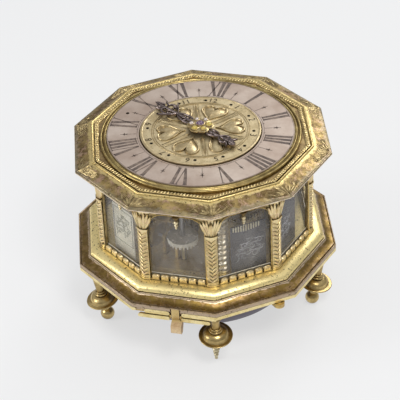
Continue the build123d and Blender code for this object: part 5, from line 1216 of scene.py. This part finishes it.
star = [raised_circle(31.9, 0.7, 0.34), raised_circle(30.6, 0.5, 0.28), raised_circle(38.5, 0.7, 0.36)]
for k in range(6):
    star += [moved(heart(), turn=HEART_TURN + 60 * k), moved(ray(), turn=RAY_TURN + 60 * k)]
    for side in (1, -1):
        vein = [
            on_circle(r, RAY_TURN + side * a + 60 * k, 0.1)
            for r, a in ((29.6, 3.2), (20.0, 4.0), (11.5, 7.5))
        ]
        star.append(rod(vein, 0.26, 6))
star = moved(together(star), (0, 0, DISC_FIELD))
piece("alarm_disc_star", star, relief_gilt, "alarm_disc", crease=35)
FIGURE_SIZE, FIGURE_CIRCLE = 6.2, 34.8
disc_cuts = []
for k in range(12):
    curve = bpy.data.curves.new("hour_figure", "FONT")
    curve.body = str(k or 12)
    curve.size = FIGURE_SIZE
    curve.extrude = 0.03
    curve.resolution_u = 4
    curve.align_x = "CENTER"
    curve.align_y = "CENTER"
    figure = staged("hour_figure", curve)
    bpy.context.view_layer.update()
    mesh = bpy.data.meshes.new_from_object(figure.evaluated_get(bpy.context.evaluated_depsgraph_get()))
    figure_shell = [Vector(v.co) for v in mesh.vertices], [tuple(p.vertices) for p in mesh.polygons]
    disc_cuts.append(moved(moved(figure_shell, (0, FIGURE_CIRCLE, DISC_FIELD + 0.05)), turn=-30 * k))
    bpy.data.objects.remove(figure)
    bpy.data.curves.remove(curve)
    bpy.data.meshes.remove(mesh)
for k in range(6):
    for shift in (14.0, -14.0):
        spot = on_circle(28.3, HEART_TURN + 60 * k + shift)
        disc_cuts.append(flat_cut(arc((spot.x, spot.y), 0.55, 0, 315, 7), DISC_FIELD))
disc_wax = gilt(
    "disc_engraving_dirt", (0.13, 0.095, 0.055), (0.07, 0.05, 0.03), (0.02, 0.014, 0.01), patch=200,
    gloss=0.6
)
piece("alarm_disc_engraving", together(disc_cuts), disc_wax, "alarm_disc")
dots = [moved(dot(1.1, 0.05, 16), on_circle(34.7, -52 + 30 * k, DISC_FIELD)) for k in range(12)]
for degrees, radius in ((95, 21.5), (310, 24.0), (205, 17.5), (262, 25.5)):
    dots.append(moved(dot(0.45, 0.05, 12), on_circle(radius, degrees, DISC_FIELD)))
piece("alarm_disc_holes", together(dots), black_hole, "alarm_disc")

# Hour hand: steel, pierced and filed into scrolls, with a long arm for the hour and a short arm for a tail.
# It is blued, and worn silvery where it has been turned by hand.
HAND_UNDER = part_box("hour_hand")[0].z / MM
HAND_THICK = 0.9
HAND_TURN = 148.0
HAND_ROUND = ((-1, 0.0), (-1, 0.45), (-0.55, 0.88), (0, 1.0), (0.55, 0.88), (1, 0.45), (1, 0.0))
HAND_STEMS = (
    ([(6.0, 0), (20.0, 0), (31.0, 0), (36.0, 0), (42.5, 0)], [2.6, 1.7, 1.9, 1.6, 0.4]),
    ([(-6.0, 0), (-14.0, 0), (-22.0, 0), (-30.5, 0)], [2.6, 1.8, 1.3, 0.7]),
)
HAND_LEAVES = (
    ([(6.5, 1.8), (12.0, 3.3), (17.5, 2.6), (21.5, 0.5)], [1.3, 1.5, 1.3, 0.9]),
    ([(21.5, 0.4), (24.5, 3.8), (28.0, 5.6), (31.5, 5.0), (33.5, 2.6), (32.0, 1.2)],
     [1.0, 1.3, 1.5, 1.4, 1.1, 0.7]),
    ([(26.5, 5.0), (28.6, 7.2), (30.6, 9.2)], [1.6, 1.5, 0.5]),
    ([(32.4, 2.4), (34.8, 3.8), (37.2, 4.6)], [1.2, 1.3, 0.5]),
    ([(33.8, 0.6), (36.4, 1.9), (39.2, 1.3), (41.2, 0.3)], [0.8, 1.1, 0.9, 0.5]),
    ([(-6.5, 1.8), (-10.5, 3.0), (-14.5, 2.2), (-17.5, 0.4)], [1.3, 1.5, 1.2, 0.8]),
    ([(-17.5, 0.4), (-19.5, 2.5), (-22.0, 3.7), (-24.4, 3.2), (-25.4, 1.5)], [0.9, 1.5, 1.7, 1.3, 0.7]),
    ([(-21.5, 0.5), (-24.5, 1.6), (-27.2, 3.5), (-28.6, 5.5)], [1.0, 1.5, 1.6, 0.4]),
    ([(-25.5, 0.3), (-28.0, 1.5), (-30.0, 1.2), (-31.6, 0)], [0.9, 1.4, 1.2, 0.5]),
)
HAND_CURLS = (
    (13.6, 1.6, 1.7, 90, 300, 0.8), (27.2, 2.6, 1.7, 200, -300, 0.75), (-11.0, 1.4, 1.4, 90, 300, 0.7),
)


def scroll(points, widths):
    """A filed scroll of the hand: a flat band along points with a half-round top."""
    verts = []
    count = len(points)
    for j, (x, y) in enumerate(points):
        ahead, behind = points[min(j + 1, count - 1)], points[max(j - 1, 0)]
        dx, dy = ahead[0] - behind[0], ahead[1] - behind[1]
        half = widths[j] / 2 / max(hypot(dx, dy), 1e-6)
        high = HAND_THICK * min(1.6, 1 + 0.10 * max(0.0, hypot(x, y) - 9.5))
        for share, rise in HAND_ROUND:
            verts.append(Vector((x - dy * half * share, y + dx * half * share, high * rise)))
    ring = len(HAND_ROUND)
    ends = [tuple(range(ring))[::-1], tuple(range((count - 1) * ring, count * ring))]
    return verts, quads(count, ring) + ends


def curl(x, y, radius, start, sweep, wide, steps=14):
    """A scroll that winds inward from its outer end."""
    turns = [(radius * (1 - 0.55 * k / steps), radians(start + sweep * k / steps)) for k in range(steps + 1)]
    points = [(x + reach * cos(turn), y + reach * sin(turn)) for reach, turn in turns]
    return scroll(points, [wide * (1 - 0.35 * k / steps) for k in range(steps + 1)])


def bent(points, widths, steps=6):
    """A smooth band through points, Catmull-Rom."""
    path, wide = [], []
    full = [points[0]] + list(points) + [points[-1]]
    for j in range(1, len(full) - 2):
        before, near, far, after = full[j - 1:j + 3]
        for k in range(steps):
            u = k / steps
            path.append(tuple(
                0.5 * (2 * near[i] + (far[i] - before[i]) * u
                       + (2 * before[i] - 5 * near[i] + 4 * far[i] - after[i]) * u * u
                       + (3 * near[i] - before[i] - 3 * far[i] + after[i]) * u ** 3)
                for i in (0, 1)
            ))
            wide.append(widths[j - 1] + (widths[j] - widths[j - 1]) * u)
    return scroll(path + [points[-1]], wide + [widths[-1]])


hand_parts = [bent(points, widths) for points, widths in HAND_STEMS]
for side in (1, -1):
    hand_parts += [bent([(x, side * y) for x, y in points], widths) for points, widths in HAND_LEAVES]
    for x, y, radius, start, sweep, wide in HAND_CURLS:
        hand_parts.append(curl(x, side * y, radius, side * start, side * sweep, wide))
hand_boss = turned([(2.05, 0), (7.4, 0), (7.4, 0.85), (2.05, 0.98)], 48)
hand = moved(together([moved(together(hand_parts), turn=HAND_TURN), hand_boss]), (0, 0, HAND_UNDER))
hand_steel = steel("worn_blued_steel", (0.25, 0.20, 0.185), gloss=0.30, scratch=0.5)
piece("pierced_hour_hand", hand, hand_steel, "hour_hand", ["hour_hand"], 40)

# Hub: a gilt rosette of six petals riveted on the hand, with six paste stones round a raised centre stone.
# They sit in rubbed-over settings: three yellow stones, three pale ones, and a violet one in the middle.
HUB_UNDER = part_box("hub_rosette")[0].z / MM
HUB_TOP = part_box("hub_rosette")[1].z / MM
JEWEL_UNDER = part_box("hub_jewels")[0].z / MM
PETALS = 6
PETAL_FIRST = 5.0
PETAL_TIP, HUB_BORE, PETAL_RISE, HUB_RISE = 8.85, 2.1, 0.35, 1.15
STONE_CIRCLE = 5.7
hub_gold = gilt(
    "gilt_hub", (0.66, 0.53, 0.27), (0.42, 0.31, 0.15), (0.05, 0.032, 0.02), patch=300, gloss=0.30, reach=1.1
)


def rosette(rings=8, around=96):
    """A domed rosette with rounded petals, each raised along its middle."""
    verts = []
    for j in range(rings + 1):
        u = j / rings
        for k in range(around):
            turn = 2 * pi * k / around
            lobe = abs(cos(PETALS * (turn - radians(PETAL_FIRST)) / 2)) ** 0.6
            r = HUB_BORE + (PETAL_TIP - HUB_BORE) * (0.72 + 0.28 * lobe) * u
            petal = PETAL_RISE + 0.35 * (HUB_RISE - PETAL_RISE) * lobe * sin(pi * u)
            rise = max(HUB_RISE * (1 - u ** 2.2) + petal * u ** 0.5, 0.06)
            verts.append(Vector((r * cos(turn), r * sin(turn), rise)))
    verts += [Vector((v.x, v.y, 0)) for v in verts[-around:]]
    return verts, quads(rings + 2, around)


collar = turned([(2.1, 0.9), (4.6, 0.9), (4.6, 1.15), (4.3, 1.35), (4.1, 1.6), (2.1, 1.6)], 48)
hub = moved(together([rosette(), collar]), (0, 0, HUB_UNDER))
piece("hub_petals", hub, hub_gold, "hour_hand", replaces=["hub_rosette"], crease=50)


def stone(name, colour, painted_glint):
    """Polished paste stone, cloudy inside, with pale glints painted on as highlight spots."""
    made, tree = new_material(name)
    tone = mix(tree, noise(tree, 800.0, 3.0), tuple(c * 0.4 for c in colour), colour)
    # Painted highlight: near-white spots where a fine noise peaks, as glints.
    bright = span(tree, noise(tree, 1500.0, 1.0), 0.60, 0.66, 0.0, painted_glint)
    dress(tree, Base_Color=mix(tree, bright, tone, (0.95, 0.93, 0.95)), Roughness=0.08, Coat_Weight=0.6)
    return made


def cut_stone(radius, high, facets=8):
    verts = []
    for size, rise, shift in ((1.0, 0.0, 0), (1.0, 0.35, 0), (0.62, 0.85, 0.5)):
        verts += [on_circle(radius * size, 360 * (k + shift) / facets, high * rise) for k in range(facets)]
    return verts + [Vector((0, 0, high))], quads(3, facets) + fan(2 * facets, facets, 3 * facets)


yellow_stones, pale_stones, settings = [], [], []
for k, (radius, kind) in enumerate((
    (2.15, yellow_stones), (1.4, pale_stones), (1.3, pale_stones), (1.5, pale_stones), (2.15, yellow_stones),
    (1.8, yellow_stones),
)):
    spot = on_circle(STONE_CIRCLE, PETAL_FIRST + 360 / PETALS * k, JEWEL_UNDER)
    setting = turned(
        [(radius - 0.3, -0.3), (radius + 0.45, -0.3), (radius + 0.38, 0.35), (radius + 0.02, 0.5)], 24
    )
    kind.append(moved(cut_stone(radius, 1.3), spot))
    settings.append(moved(setting, spot))
centre_setting = turned([(2.3, -0.2), (3.4, -0.2), (3.2, 0.45), (2.75, 0.6)], 32)
settings.append(moved(centre_setting, (0, 0, HUB_TOP)))
centre_stone = moved(cut_stone(2.75, 1.6, 12), (0, 0, HUB_TOP))
yellow_paste = stone("yellow_paste", (0.72, 0.54, 0.10), 0.3)
pale_paste = stone("pale_paste", (0.82, 0.70, 0.62), 0.4)
violet_paste = stone("violet_paste", (0.15, 0.065, 0.13), 0.6)
piece("stone_settings", together(settings), hub_gold, "hour_hand", crease=40)
piece("yellow_stones", together(yellow_stones), yellow_paste, "hour_hand", ["hub_jewels"], 5)
piece("pale_stones", together(pale_stones), pale_paste, "hour_hand", crease=5)
piece("centre_stone", centre_stone, violet_paste, "hour_hand", crease=5)
